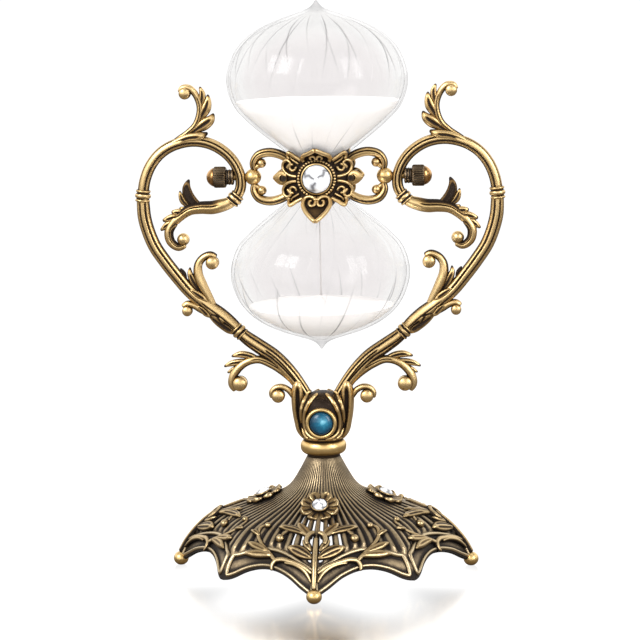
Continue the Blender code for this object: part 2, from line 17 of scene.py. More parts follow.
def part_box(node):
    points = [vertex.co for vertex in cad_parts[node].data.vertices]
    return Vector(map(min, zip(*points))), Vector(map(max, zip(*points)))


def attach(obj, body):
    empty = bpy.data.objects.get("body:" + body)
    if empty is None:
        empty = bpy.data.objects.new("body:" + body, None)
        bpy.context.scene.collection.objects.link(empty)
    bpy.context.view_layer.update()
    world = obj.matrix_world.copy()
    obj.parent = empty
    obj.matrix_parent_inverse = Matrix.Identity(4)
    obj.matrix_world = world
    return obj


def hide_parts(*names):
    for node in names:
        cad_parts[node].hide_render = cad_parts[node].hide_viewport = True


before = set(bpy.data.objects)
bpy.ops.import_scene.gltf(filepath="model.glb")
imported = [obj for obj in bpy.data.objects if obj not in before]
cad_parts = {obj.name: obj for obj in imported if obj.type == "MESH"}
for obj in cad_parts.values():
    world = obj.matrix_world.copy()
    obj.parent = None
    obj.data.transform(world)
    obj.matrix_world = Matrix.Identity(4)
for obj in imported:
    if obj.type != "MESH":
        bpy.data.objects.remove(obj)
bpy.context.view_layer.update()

MM = 0.001
TAU = math.tau
SIDES = {"left": -1, "right": 1}
QUARTERS = {"front": -90, "right": 0, "back": 90, "left": 180}
FRONT = np.array([0.0, -1.0, 0.0])
PIVOT_Z = 175.0
SHARP_ANGLE = math.radians(50)

# --- numbers shared with the CAD, in mm ---

BULB = [
    (0, 4.5), (3, 4.9), (6, 7.4), (9.2, 11.9), (15.6, 20.1), (25, 31.1), (30, 35.7), (35, 38.1), (43.3, 39.4),
    (50.5, 37.7), (56.1, 34.9), (62.5, 28.4), (67, 20.1), (70.9, 9), (72.6, 2.4),
]
HOOP = [
    (36.9, 166, 2.35), (34.7, 170, 2.4), (34.5, 174, 2.4), (35.7, 178.5, 2.4), (38.6, 183.3, 2.4),
    (43.5, 187.6, 2.45), (48.8, 190.1, 2.5), (55, 191, 2.5), (61, 190.2, 2.5), (66, 188.3, 2.5),
    (70.4, 185.2, 2.5), (74.1, 180.6, 2.5), (76.8, 174.4, 2.5), (78, 167.6, 2.5),
]
TAIL = [
    (37.7, 165.1, 2.35), (39.8, 163.7, 2.6), (43, 162.6, 2.9), (47, 161.7, 3), (52.5, 161.6, 2.8),
    (57.2, 160.8, 2.5), (61.2, 158.3, 2.2), (64.8, 154.9, 2.1), (66.9, 150.9, 2.1), (66, 146.4, 2),
    (62.6, 144.1, 1.7), (59.6, 145.4, 1.3),
]
LOWER_ARM = [
    (78.1, 166.6, 2.7), (78, 162.8, 2.9), (77.7, 158.1, 3), (76.2, 151.7, 3), (73.4, 144.7, 3),
    (69.2, 138.2, 3), (63.6, 130.8, 3), (58.4, 124.6, 3), (51.2, 118.4, 3.1), (44.2, 113.2, 3.3),
    (39.4, 109, 3), (36.8, 106.4, 2.5),
]
ROOT = [
    (36.5, 106.1, 2.6), (33.6, 103.6, 3), (28, 99.6, 3.3), (21.4, 95, 3.3), (15.3, 88.8, 3.2),
    (10.6, 82.7, 2.9), (7.2, 77.1, 2.7), (5.2, 71.6, 2.4),
]
ACANTHUS = [
    (66, 188.6, 1), (62.5, 191.4, 1.2), (57.4, 194.8, 1.3), (54, 198, 1.4), (52.4, 201.6, 1.4),
    (51.9, 205.9, 1.35), (52.7, 209.3, 1.35), (54.4, 212.5, 1.5), (56.9, 214.4, 1.5), (59.4, 214.2, 1.3),
    (60.4, 212.2, 1.1),
]
INNER_CURL = [
    (46.2, 114.6, 1.2), (49.4, 120.6, 1.9), (52.6, 127, 2.3), (54.4, 132.6, 2.1), (54, 136.8, 1.8),
    (51.6, 139.6, 1.7), (48.4, 140.6, 1.6), (46.2, 139.4, 1.4),
]
OUTER_CURL = [
    (46.4, 113.2, 1.3), (50.2, 114.6, 1.6), (53.6, 116.4, 1.7), (56.8, 118.2, 1.6), (59.6, 118.7, 1.5),
    (61.5, 117.2, 1.3),
]
BRANCH_CURL = [
    (9.6, 79.5, 1.3), (13.6, 84.4, 1.6), (17.4, 88, 1.8), (22.6, 91.4, 1.8), (28.3, 93.6, 1.8),
    (33.4, 92.6, 1.8), (37.4, 89.7, 1.9), (39.8, 86, 1.9), (40.3, 82.2, 1.7), (38.6, 79.8, 1.4),
]
SOCKET_CURL = [
    (9.4, 73.5, 1.5), (12.8, 77, 1.5), (15.2, 79.8, 1.4), (18, 81.2, 1.4), (20.9, 80.8, 1.3),
    (22.8, 78.6, 1.2), (22.4, 76.2, 1),
]
BALLS = {
    "acanthus": (58.3, 211.9, 2.6), "tail": (60.6, 147.6, 2.8), "inner": (47.9, 137.1, 2.9),
    "outer": (59.6, 115.6, 2.3), "branch": (36.8, 82.8, 3.3), "socket": (19.8, 77.2, 3.0),
}
LOOP_HALF = [
    (10.9, 0, 1.4), (11.3, 4.4, 1.6), (13.4, 7.6, 1.9), (18, 10.1, 2), (22.3, 10.7, 2), (26.8, 9.2, 1.9),
    (28.8, 5.8, 1.6), (28.2, 2.6, 1.3),
]
CANOPY = [
    (7.4, 50.1), (10.6, 44), (15.3, 37), (25, 31.5), (35.2, 28), (49.4, 22.5), (56, 17), (61.7, 10), (65, 4),
    (66.6, 1.4),
]
CUSPS = 8
FOOT_R, FOOT_Z, FOOT_RADIUS = 65.3, 2.9, 3.1
FLOWER_R = 25.4
MEDALLION_BACK, MEDALLION_THICK = 11.2, 1.8
STONE_Z = 66.8
GLASS_WALL, METAL_WALL = 1.3, 1.3
SAND_UPPER_TOP, SAND_LOWER_TOP = 33.0, -57.2

# --- curves and skins ---


def bell(x):
    return np.exp(-(x * x))


def rise(x, low, high):
    """A smooth step from 0 at low to 1 at high."""
    t = np.clip((x - low) / (high - low), 0, 1)
    return t * t * (3 - 2 * t)


def unit(v):
    return v / np.maximum(np.linalg.norm(v, axis=-1, keepdims=True), 1e-9)


def curve(path, space):
    """A smooth line through the rows of path: (function of the distance along it, its length)."""
    p = np.array(path, float)
    span = np.linalg.norm(np.diff(p[:, :space], axis=0), axis=1)
    t = np.r_[0, np.cumsum(span)]
    slope = np.diff(p, axis=0) / span[:, None]
    if len(p) == 2:
        tangent = np.vstack([slope, slope])
    else:
        w = span[:, None]
        inner = (slope[:-1] * w[1:] + slope[1:] * w[:-1]) / (w[1:] + w[:-1])
        tangent = np.vstack([1.5 * slope[0] - 0.5 * inner[0], inner, 1.5 * slope[-1] - 0.5 * inner[-1]])

    def place(s):
        i = np.clip(np.searchsorted(t, s, side="right") - 1, 0, len(span) - 1)
        h = span[i][:, None]
        u = (s[:, None] - t[i][:, None]) / h
        rows = (2 * u**3 - 3 * u**2 + 1) * p[i] + (u**3 - 2 * u**2 + u) * h * tangent[i]
        return rows + (3 * u**2 - 2 * u**3) * p[i + 1] + (u**3 - u**2) * h * tangent[i + 1]

    return place, t[-1]


def stations(length, step, blunt):
    """Distances along a strip and the share of full size at each; blunt is the lengths of its round ends."""
    start, end = blunt
    turns = np.radians([6, 22, 38, 54, 72])
    middle = np.linspace(start, length - end, max(int((length - start - end) / step) + 1, 3))
    places, sizes = [middle], [np.ones(len(middle))]
    if start:
        places.insert(0, start * (1 - np.cos(turns)))
        sizes.insert(0, np.sin(turns))
    if end:
        places.append(length - end * (1 - np.cos(turns[::-1])))
        sizes.append(np.sin(turns[::-1]))
    return np.concatenate(places), np.concatenate(sizes)


def ring_faces(rows, count, closed=False):
    faces = []
    for i in range(rows if closed else rows - 1):
        here, there = i * count, (i + 1) % rows * count
        for j in range(count):
            k = (j + 1) % count
            faces.append((here + j, here + k, there + k, there + j))
    return faces


def tube(rows, count, closed=False):
    """The faces of a skin over rings, with a cap on each end unless it closes on itself."""
    caps = [] if closed else [tuple(range(count))[::-1], tuple(range((rows - 1) * count, rows * count))]
    return ring_faces(rows, count, closed) + caps


def outward(verts, faces):
    """The faces turned so that a closed skin looks outwards."""
    p = verts - verts.mean(axis=0)
    fans = np.array([(f[0], f[i], f[i + 1]) for f in faces for i in range(1, len(f) - 1)])
    volume = (p[fans[:, 0]] * np.cross(p[fans[:, 1]], p[fans[:, 2]])).sum()
    return [f[::-1] for f in faces] if volume < 0 else faces


def around(radius, turn, height):
    """Points about Z, at radii, azimuths and heights that may be single values."""
    radius, turn, height = np.broadcast_arrays(radius, turn, height)
    return np.stack([radius * np.cos(turn), radius * np.sin(turn), height], -1)


def even_turns(count):
    return TAU * np.arange(count) / count


def onto(verts, centre, axis):
    """Points made about Z, turned onto an axis through centre."""
    spin = np.array(Vector((0, 0, 1)).rotation_difference(Vector(axis)).to_matrix())
    return verts.reshape(-1, 3) @ spin.T + np.array(centre, float)


def plain(u, across, front):
    """The section of a smooth strip."""
    return np.ones_like(u * across), np.zeros_like(u * across)


def sweep(points, wide, deep, normal, section=plain, sides=24, closed=False):
    """A skin over a line of points: wide and deep are its half sizes across it and along normal.

    section(u, across, front) gives the share of those sizes and the patina-and-shade value of the
    surface, from the share of the way along and the place round the section: across is 1 on the left of
    travel.
    """
    points = np.asarray(points, float)
    if closed:
        tangent = unit(np.roll(points, -1, axis=0) - np.roll(points, 1, axis=0))
    else:
        tangent = unit(np.gradient(points, axis=0))
    normal = np.broadcast_to(normal, points.shape)
    normal = unit(normal - (normal * tangent).sum(axis=1, keepdims=True) * tangent)
    left = np.cross(normal, tangent)
    way = np.r_[0, np.cumsum(np.linalg.norm(np.diff(points, axis=0), axis=1))]
    turn = TAU * (np.arange(sides) + 0.5) / sides
    across, front = np.cos(turn)[None], np.sin(turn)[None]
    share, patina_and_shade = section((way / way[-1])[:, None], across, front)
    wide = np.broadcast_to(wide, len(points))[:, None] * share
    deep = np.broadcast_to(deep, len(points))[:, None] * share
    offset = left[:, None] * (wide * across)[..., None] + normal[:, None] * (deep * front)[..., None]
    verts = (points[:, None] + offset).reshape(-1, 3)
    patina_and_shade = np.broadcast_to(patina_and_shade, (len(points), sides)).reshape(-1)
    return verts, outward(verts, tube(len(points), sides, closed)), patina_and_shade


def strip(path, deep=1.0, section=plain, sides=24, step=0.6, blunt=(0, 0), y=0.0):
    """A swept casting in the frame's plane, from rows of (distance from the middle, height, half-width)."""
    place, length = curve(path, 2)
    s, size = stations(length, step, blunt)
    rows = place(s)
    points = np.column_stack([rows[:, 0], np.full(len(rows), float(y)), rows[:, 1]])
    wide = np.maximum(rows[:, 2], 0.15) * size
    return sweep(points, wide, wide * deep, FRONT, section, sides)


def lathe(profile, sides=32, centre=(0, 0, 0), axis=(0, 0, 1), step=0.5, sharp=False, closed=False):
    """Rows of (radius, distance along the axis, patina-and-shade value) turned about the axis and smoothed
    unless sharp.
    """
    rows = np.array([tuple(p) + (0,) * (3 - len(p)) for p in profile], float)
    if not sharp:
        place, length = curve(rows, 2)
        rows = place(np.linspace(0, length, max(int(length / step), len(rows) * 2)))
    verts = onto(around(np.maximum(rows[:, :1], 0.02), even_turns(sides), rows[:, 1:2]), centre, axis)
    return verts, outward(verts, tube(len(rows), sides, closed)), np.repeat(np.clip(rows[:, 2], 0, 1), sides)


def ball(centre, radius, deep=1.0, sides=28, painted_shade_underneath=0.0):
    """A sphere, deeper than wide along Y if deep is over 1, with painted shade of the given strength on its
    underside.
    """
    rows = 15
    lift = np.pi * (np.arange(rows) + 0.35) / (rows - 0.3) - np.pi / 2
    grid = around(np.cos(lift)[:, None], even_turns(sides), np.sin(lift)[:, None])
    verts = (grid * (1, deep, 1)).reshape(-1, 3) * radius + np.array(centre, float)
    return verts, outward(verts, tube(rows, sides)), painted_shade_underneath * rise(-grid[..., 2], 0.1, 1).reshape(-1)


def thick(verts, quads, normals, depth, patina_and_shade, painted_underside_shade):
    """Open quads given an underside, darkened with painted shade, and walls round every free edge."""
    quads = np.asarray(quads)
    under = verts - normals * depth
    count = len(verts)
    edges = np.concatenate([quads[:, [0, 1]], quads[:, [1, 2]], quads[:, [2, 3]], quads[:, [3, 0]]])
    keys = np.sort(edges, axis=1) @ np.array([count, 1])
    _, first, seen = np.unique(keys, return_index=True, return_counts=True)
    free = edges[first[seen == 1]]
    walls = np.column_stack([free[:, 1], free[:, 0], free[:, 0] + count, free[:, 1] + count])
    faces = np.concatenate([quads, quads[:, ::-1] + count, walls]).tolist()
    return np.vstack([verts, under]), faces, np.concatenate([patina_and_shade, np.full(count, float(painted_underside_shade))])


class Shape:
    """A growing mesh."""

    def __init__(self):
        self.verts, self.faces, self.patina_and_shade, self.count = [], [], [], 0

    def add(self, skin, side=1, move=None):
        verts, faces, patina_and_shade = skin
        verts = np.array(verts, float)
        if move is not None:
            verts = verts @ np.array(move)[:3, :3].T + np.array(move)[:3, 3]
        if side < 0:
            verts[:, 0] *= -1
            faces = [tuple(f)[::-1] for f in faces]
        self.verts.append(verts)
        self.faces += [tuple(i + self.count for i in f) for f in faces]
        self.patina_and_shade.append(np.clip(patina_and_shade, 0, 1))
        self.count += len(verts)
        return self

    def make(self, name, material, body, *nodes, slot=None, smooth=True):
        """The piece, on its body and standing for its CAD nodes; slot is not used."""
        mesh = bpy.data.meshes.new(name)
        used = np.zeros(self.count, bool)
        used[[i for f in self.faces for i in f]] = True
        index = np.cumsum(used) - 1
        verts = np.vstack(self.verts)[used] * MM
        mesh.from_pydata(verts.tolist(), [], [tuple(int(index[i]) for i in f) for f in self.faces])
        layer = mesh.attributes.new("patina_and_shade", "FLOAT", "POINT")
        layer.data.foreach_set("value", np.concatenate(self.patina_and_shade)[used].astype(np.float32))
        mesh.materials.append(material)
        if smooth:
            mesh.shade_smooth()
            mesh.set_sharp_from_angle(angle=SHARP_ANGLE)
        obj = bpy.data.objects.new(name, mesh)
        bpy.context.scene.collection.objects.link(obj)
        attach(obj, body)
        if nodes:
            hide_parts(*nodes)


# --- materials ---


class Nodes:
    """A short way to write the node tree of a new material, or of the world."""

    def __init__(self, name, world=None):
        self.material = world or bpy.data.materials.new(name)
        self.material.use_nodes = True
        self.tree = self.material.node_tree
        self.shader = self.tree.nodes.get("Principled BSDF")
        self.output = self.tree.nodes["World Output" if world else "Material Output"]

    def new(self, kind, settings=None, **inputs):
        node = self.tree.nodes.new("ShaderNode" + kind)
        for key, value in (settings or {}).items():
            setattr(node, key, value)
        for key, value in inputs.items():
            numbered = key[0] == "i" and key[1:].isdigit()
            self.put(node.inputs[int(key[1:]) if numbered else key.replace("_", " ")], value)
        return node

    def put(self, socket, value):
        if isinstance(value, bpy.types.NodeSocket):
            self.tree.links.new(value, socket)
        else:
            socket.default_value = value

    def set(self, **inputs):
        for key, value in inputs.items():
            self.put(self.shader.inputs[key.replace("_", " ")], value)

    def mix(self, share, first, second):
        """Two shaders mixed into the output."""
        mix = self.new("MixShader", None, Fac=share, i1=first.outputs[0], i2=second.outputs[0])
        self.tree.links.new(mix.outputs[0], self.output.inputs["Surface"])

    def patina_and_shade(self):
        return self.new("Attribute", {"attribute_name": "patina_and_shade"}).outputs["Fac"]

    def math(self, how, a, b=0.0, clamp=False):
        return self.new("Math", {"operation": how, "use_clamp": clamp}, i0=a, i1=b).outputs[0]

    def swing(self, value, share):
        """A share of how far a noise is from its middle."""
        return self.math("MULTIPLY", self.math("SUBTRACT", value, 0.5), share)

    def noise(self, scale, detail=4.0, rough=0.55, stretch=None):
        place = self.new("TexCoord").outputs["Object"]
        if stretch:
            place = self.new("Mapping", None, Vector=place, Scale=stretch).outputs[0]
        return self.new(
            "TexNoise", None, Vector=place, Scale=scale, Detail=detail, Roughness=rough,
        ).outputs["Fac"]

    def ramp(self, value, stops):
        node = self.new("ValToRGB", None, Fac=value)
        points = node.color_ramp.elements
        while len(points) < len(stops):
            points.new(0.5)
        for point, (place, colour) in zip(points, stops):
            point.position = place
            point.color = (*colour, 1)
        return node.outputs[0]

    def range(self, value, low, high, to_low, to_high):
        return self.new("MapRange", None, Value=value, i1=low, i2=high, i3=to_low, i4=to_high).outputs[0]

    def bump(self, height, strength, distance):
        return self.new("Bump", None, Height=height, Strength=strength, Distance=distance).outputs[0]

    def reflection(self):
        """1 for what is seen mirrored, 0 for what is seen straight or through glass."""
        path = self.new("LightPath").outputs
        return self.math("SUBTRACT", path["Is Glossy Ray"], path["Is Transmission Ray"], clamp=True)


def brass_with_patina_and_shade(name, stops, gloss=(0.2, 0.55), cavity=0.9, reach=2.2, speckle=0.22, grain=0.25):
    """Brass whose colour runs through stops from its worn ridges to the dark patina in its recesses, darkened
    further by ambient occlusion, which is painted shade in creases and between parts.
    """
    n = Nodes(name)
    # Ambient occlusion paints shade into the colour where nearby surfaces hide the sky.
    open_sky = n.new("AmbientOcclusion", {"samples": 6}, Distance=reach * MM).outputs["AO"]
    shade = n.math("MULTIPLY", n.math("SUBTRACT", 1.0, open_sky), cavity)
    broad, fine = n.noise(130.0, 3.0), n.noise(900.0, 5.0, 0.65)
    cloud = n.math("MULTIPLY", n.math("SUBTRACT", n.math("ADD", broad, fine), 1.0), speckle)
    patina_and_shade_amount = n.math("ADD", n.math("ADD", n.patina_and_shade(), shade), cloud, clamp=True)
    n.set(
        Base_Color=n.ramp(patina_and_shade_amount, stops),
        Metallic=n.range(patina_and_shade_amount, 0.4, 1.0, 1.0, 0.7),
        Roughness=n.math("ADD", n.range(patina_and_shade_amount, 0.05, 0.9, *gloss), n.swing(fine, 0.16)),
        Normal=n.bump(n.math("ADD", fine, n.math("MULTIPLY", broad, 0.6)), grain, 0.1 * MM),
    )
    return n.material


ANTIQUE = brass_with_patina_and_shade("antique_brass", [
    (0, (0.80, 0.585, 0.29)), (0.2, (0.61, 0.415, 0.175)), (0.45, (0.20, 0.12, 0.046)),
    (0.75, (0.022, 0.013, 0.008)),
], gloss=(0.36, 0.6))
LACE = brass_with_patina_and_shade("lace_brass", [
    (0, (0.53, 0.40, 0.22)), (0.18, (0.31, 0.215, 0.10)), (0.42, (0.11, 0.072, 0.036)),
    (0.7, (0.017, 0.011, 0.008)),
], gloss=(0.29, 0.6), cavity=1.25, reach=3.0)
COPPER = brass_with_patina_and_shade("copper_cap", [
    (0, (0.60, 0.35, 0.14)), (0.4, (0.33, 0.175, 0.065)), (0.8, (0.05, 0.028, 0.015)),
], gloss=(0.24, 0.5), cavity=0.5, speckle=0.4)
POLISHED = brass_with_patina_and_shade("polished_brass", [
    (0, (0.80, 0.57, 0.25)), (0.3, (0.60, 0.40, 0.15)), (0.6, (0.22, 0.125, 0.045)),
    (0.9, (0.03, 0.018, 0.009)),
], gloss=(0.36, 0.5), cavity=0.6, speckle=0.1, grain=0.1)
OLIVE = brass_with_patina_and_shade("olive_brass", [
    (0, (0.57, 0.46, 0.29)), (0.22, (0.39, 0.30, 0.18)), (0.5, (0.12, 0.09, 0.058)),
    (0.78, (0.016, 0.012, 0.010)),
], gloss=(0.3, 0.62), cavity=0.95, reach=3.0)
BRONZE = brass_with_patina_and_shade("dark_brass", [
    (0, (0.33, 0.235, 0.135)), (0.35, (0.15, 0.108, 0.066)), (0.7, (0.045, 0.032, 0.022)),
    (1, (0.015, 0.011, 0.008)),
], gloss=(0.26, 0.5), cavity=0.8, grain=0.12)


def steel():
    n = Nodes("steel")
    fine = n.noise(700.0, 4.0, 0.6, (1.0, 1.0, 0.12))
    n.set(
        Base_Color=n.ramp(fine, [(0.3, (0.36, 0.35, 0.33)), (0.7, (0.56, 0.55, 0.53))]), Metallic=1.0,
        Roughness=n.range(fine, 0.2, 0.8, 0.22, 0.45), Normal=n.bump(fine, 0.15, 0.1 * MM),
    )
    return n.material


def let_lamps_through(n, share=0.0, tint=(1, 1, 1, 1)):
    """Lamps shine through the material onto what is inside; share of it is thin and straight-through."""
    clear = n.new("BsdfTransparent", None, Color=tint)
    shadow = n.new("LightPath").outputs["Is Shadow Ray"]
    n.mix(n.math("MAXIMUM", shadow, share), n.shader, clear)
    return n.material


def glass():
    """Thin clear glass, with painted shade that makes it faintly grey face-on and gives it a grey outline,
    and painted dark lines where its flutes meet.
    """
    n = Nodes("clear_glass")
    facing = n.new("LayerWeight", None, Blend=0.5).outputs["Facing"]
    ripple = n.noise(55.0, 2.0, 0.5, (1.0, 1.0, 0.25))
    # The painted dark lines grow stronger where the glass turns away towards its outline.
    slant = n.math("ADD", n.math("MULTIPLY", facing, 1.5), 0.3)
    lines = n.ramp(n.math("MULTIPLY", n.patina_and_shade(), slant), [(0.0, (1.0, 1.0, 1.0)), (1.0, (0.22, 0.22, 0.23))])
    # Painted shade by how squarely the glass faces: faintly grey face-on, grey at the outline.
    depth = n.ramp(facing, [
        (0, (0.92, 0.906, 0.906)), (0.3, (0.932, 0.92, 0.918)), (0.55, (0.956, 0.953, 0.95)),
        (0.84, (0.94, 0.938, 0.936)), (0.97, (0.66, 0.66, 0.67)),
    ])
    tint = n.new("VectorMath", {"operation": "MULTIPLY"}, i0=lines, i1=depth).outputs[0]
    n.set(
        Base_Color=tint, Roughness=0.0, IOR=1.002, Transmission_Weight=1.0,
        Coat_Weight=0.5, Coat_IOR=1.45, Coat_Roughness=0.1, Normal=n.bump(ripple, 0.12, 0.6 * MM),
    )
    return let_lamps_through(n, 0.3, tint)


def crystal():
    n = Nodes("crystal")
    # Random flaws in the crystal, plus painted dark reflections on its facets.
    flaws_and_painted_facets = n.math("ADD", n.patina_and_shade(), n.swing(n.noise(500.0, 2.0), 0.3))
    n.set(
        Base_Color=n.ramp(
            flaws_and_painted_facets, [(0.25, (0.70, 0.71, 0.73)), (0.55, (0.45, 0.46, 0.48)), (0.85, (0.14, 0.14, 0.15))],
        ),
        Roughness=0.03, IOR=1.7, Transmission_Weight=0.2, Coat_Weight=0.5, Coat_Roughness=0.02,
    )
    return let_lamps_through(n)


def cabochon():
    """A stone with a pale swirl at its upper right, darker towards its edge."""
    n = Nodes("teal_stone")
    place = n.new("TexCoord").outputs["Object"]
    pale = (0.9 * MM, -14.1 * MM, (STONE_Z + 0.9) * MM)
    away = n.new("VectorMath", {"operation": "DISTANCE"}, i0=place, i1=pale).outputs["Value"]
    depth = n.math("ADD", n.math("MULTIPLY", away, 1 / (5.4 * MM)), n.swing(n.noise(420.0, 5.0, 0.7), 1.0))
    n.set(
        Base_Color=n.ramp(depth, [
            (0, (0.12, 0.34, 0.43)), (0.22, (0.018, 0.15, 0.23)), (0.5, (0.004, 0.07, 0.125)),
            (0.95, (0.002, 0.025, 0.05)),
        ]),
        Roughness=0.25, Specular_IOR_Level=0.35, Coat_Weight=0.25, Coat_Roughness=0.1,
    )
    return n.material


def sand():
    n = Nodes("white_sand")
    grain = n.noise(4200.0, 3.0, 0.8)
    # Painted shade from the mesh darkens the sand.
    tone = n.math("SUBTRACT", grain, n.math("MULTIPLY", n.patina_and_shade(), 0.6))
    n.set(
        Base_Color=n.ramp(
            tone, [(0.0, (0.5, 0.49, 0.48)), (0.3, (0.90, 0.895, 0.885)), (0.6, (0.97, 0.97, 0.965))],
        ),
        Roughness=0.9, Normal=n.bump(grain, 0.6, 0.25 * MM),
    )
    return n.material


STEEL, GLASS, CRYSTAL, STONE, SAND = steel(), glass(), crystal(), cabochon(), sand()

# --- reliefs of the arms, with painted shade on their edges, as functions of the way along, across and front ---


def carve(*grooves, inner=(0.0, -0.8), outer=(0.0, 0.9)):
    """Grooves as (across, half-width, depth, start, end), and painted shade on the edges as (darkness, where
    it fades).
    """

    def section(u, across, front):
        share, patina_and_shade = plain(u, across, front)
        for spot, half, depth, start, end in grooves:
            spot = spot(u) if callable(spot) else spot
            fade = rise(u, start - 0.012, start + 0.012) * (1 - rise(u, end - 0.03, end + 0.01))
            cut = bell((across - spot) / half) * fade
            share = share - depth * cut
            patina_and_shade = patina_and_shade + 1.15 * cut
        # Painted shade on the inner and outer edges of the strip.
        patina_and_shade = patina_and_shade + inner[0] * (1 - rise(across, -1, inner[1])) + outer[0] * rise(across, outer[1], 1)
        return share, patina_and_shade

    return section


def leaf_relief(inset=0.42, width=0.36, start=0.1, end=0.86, tip=0.8, veined=False, low=0.0, edge=0.0):
    """A leaf: bright rims, a hollow middle or a vein between two hollows, and a dark tip; low is painted
    shade over the whole leaf, and edge is painted shade along its outline.
    """

    def section(u, across, front):
        span = rise(u, start - 0.08, start + 0.1) * (1 - rise(u, end - 0.16, end))
        if veined:
            hollow = 0.8 * bell((np.abs(across) - 0.42) / 0.16) * span
        else:
            hollow = bell(across / (width * (0.45 + 0.55 * np.sin(np.pi * np.clip(u, 0, 1)) ** 0.7))) * span
        # low and edge add painted shade.
        patina_and_shade = low + 1.2 * hollow + tip * rise(u, 0.86, 1.0) + edge * rise(np.abs(across), 0.72, 0.95)
        return 1 - inset * hollow, patina_and_shade

    return section


# A curl strip with no grooves, only painted shade along its edges.
CURL_STRIP = carve(inner=(0.95, -0.35), outer=(0.3, 0.8))


def leaf(path, deep=0.9, y=0.0, **relief):
    return strip(path, deep, leaf_relief(**relief), sides=28, step=0.35, blunt=(0.5, 0.5), y=y)


def both_faces(shape, skin, side):
    """Relief laid on the front and again on the back."""
    verts, faces, patina_and_shade = skin
    shape.add(skin, side)
    shape.add((verts * (1, -1, 1), [tuple(f)[::-1] for f in faces], patina_and_shade), side)


# --- camera, floor and light ---


def look(eye, aim, roll):
    camera = bpy.data.objects.new("camera", bpy.data.cameras.new("camera"))
    camera.data.lens, camera.data.sensor_width = 133.7, 36.0
    camera.data.clip_start, camera.data.clip_end = 0.05, 200
    camera.location = eye
    turn = (Vector(aim) - Vector(eye)).to_track_quat("-Z", "Y").to_matrix().to_4x4()
    camera.rotation_euler = (turn @ Matrix.Rotation(math.radians(-roll), 4, "Z")).to_euler()
    bpy.context.scene.collection.objects.link(camera)
    bpy.context.scene.camera = camera


LAMP_AIM = Vector((0, 0, 0.13))


def lamp(name, place, size, power, mirrored=True):
    data = bpy.data.lights.new(name, "AREA")
    data.shape, data.size, data.size_y = "RECTANGLE", *size
    data.energy = power
    obj = bpy.data.objects.new(name, data)
    obj.location = place
    obj.rotation_euler = (LAMP_AIM - Vector(place)).to_track_quat("-Z", "Y").to_euler()
    obj.visible_glossy = mirrored
    obj.visible_transmission = False
    bpy.context.scene.collection.objects.link(obj)


def backdrop():
    """A white sheet that mirrors the object in a star round its foot, and looks warm grey in reflections."""
    mesh = bpy.data.meshes.new("floor")
    sides = 96
    rings = np.vstack([around(radius, even_turns(sides), 0) for radius in (0.4, 2, 40)])
    mesh.from_pydata(rings.tolist(), [], [tuple(range(sides)), *ring_faces(3, sides)])
    n = Nodes("floor")
    place = n.new("TexCoord").outputs["Object"]
    axes = n.new("SeparateXYZ", None, Vector=place).outputs
    from_middle = n.new("VectorMath", {"operation": "LENGTH"}, i0=place).outputs["Value"]
    cusps = n.math("COSINE", n.math("MULTIPLY", n.math("ARCTAN2", axes["Y"], axes["X"]), float(CUSPS)))
    beyond = n.math("ADD", from_middle, n.math("MULTIPLY", cusps, 0.014))
    near = n.math(
        "MULTIPLY", n.range(beyond, 0.066, 0.128, 0.0, 1.0), n.range(from_middle, 0.16, 0.5, 0.85, 0.0),
    )
    shine = n.new("BsdfAnisotropic", None, Color=(1.0, 0.95, 0.9, 1), Roughness=0.18)
    paper = n.new("Emission", None, Color=(1.0, 1.0, 1.0, 1), Strength=1.06)
    sheet = n.new("MixShader", None, Fac=near, i1=paper.outputs[0], i2=shine.outputs[0])
    n.mix(n.reflection(), sheet, n.new("Emission", None, Color=(0.24, 0.21, 0.18, 1), Strength=1.0))
    mesh.materials.append(n.material)
    obj = bpy.data.objects.new("floor", mesh)
    bpy.context.scene.collection.objects.link(obj)


SOFT_BOXES = [  # rows of (direction, degrees out to where it fades, degrees out to its end, strength)
    ((-0.75, -1, 0.35), 12, 42, 1.5), ((0.85, -1, 0.45), 12, 40, 1.2), ((0.1, -1, 0), 6, 28, 0.9),
    ((-1, 0.25, 0.5), 10, 30, 1.1), ((1, 0.3, 0.5), 10, 30, 1), ((0, 0.2, 1), 8, 34, 1.1),
    ((0.5, 1, 0.3), 12, 40, 1.2), ((-0.5, 1, 0.3), 12, 40, 1),
]


def surroundings():
    """White all round, but dim with soft-edged lights in reflections."""
    world = bpy.data.worlds.new("studio")
    bpy.context.scene.world = world
    n = Nodes("studio", world)
    direction = n.new("TexCoord").outputs["Generated"]
    glow = 0.3
    for toward, full, end, strength in SOFT_BOXES:
        near = n.new("VectorMath", {"operation": "DOT_PRODUCT"}, i0=direction, i1=Vector(toward).normalized())
        low, high = math.cos(math.radians(end)), math.cos(math.radians(full))
        box = n.new(
            "MapRange", {"interpolation_type": "SMOOTHSTEP"}, Value=near.outputs["Value"], i1=low, i2=high,
            i4=strength,
        )
        glow = n.math("ADD", glow, box.outputs[0])
    white = n.new("Background", None, Color=(1, 1, 1, 1), Strength=1.06)
    n.mix(n.reflection(), white, n.new("Background", None, Color=(1.0, 0.985, 0.96, 1), Strength=glow))


def studio():
    azimuth = math.radians(4.5)
    distance, height, aside, aim_z = 1.040, 0.270, -0.0006, 0.1112
    eye = (distance * math.sin(azimuth), -distance * math.cos(azimuth), height)
    look(eye, (aside * math.cos(azimuth), aside * math.sin(azimuth), aim_z), 1.0)
    backdrop()
    surroundings()
    lamp("key", (-0.9, -0.9, 1.1), (0.7, 0.7), 14)
    lamp("fill", (1.1, -0.7, 0.8), (0.5, 0.9), 8)
    lamp("wash", (0.2, -1.8, 0.35), (1.4, 0.9), 26, mirrored=False)
    bpy.context.scene.view_settings.view_transform = "Standard"


# --- heart frame ---

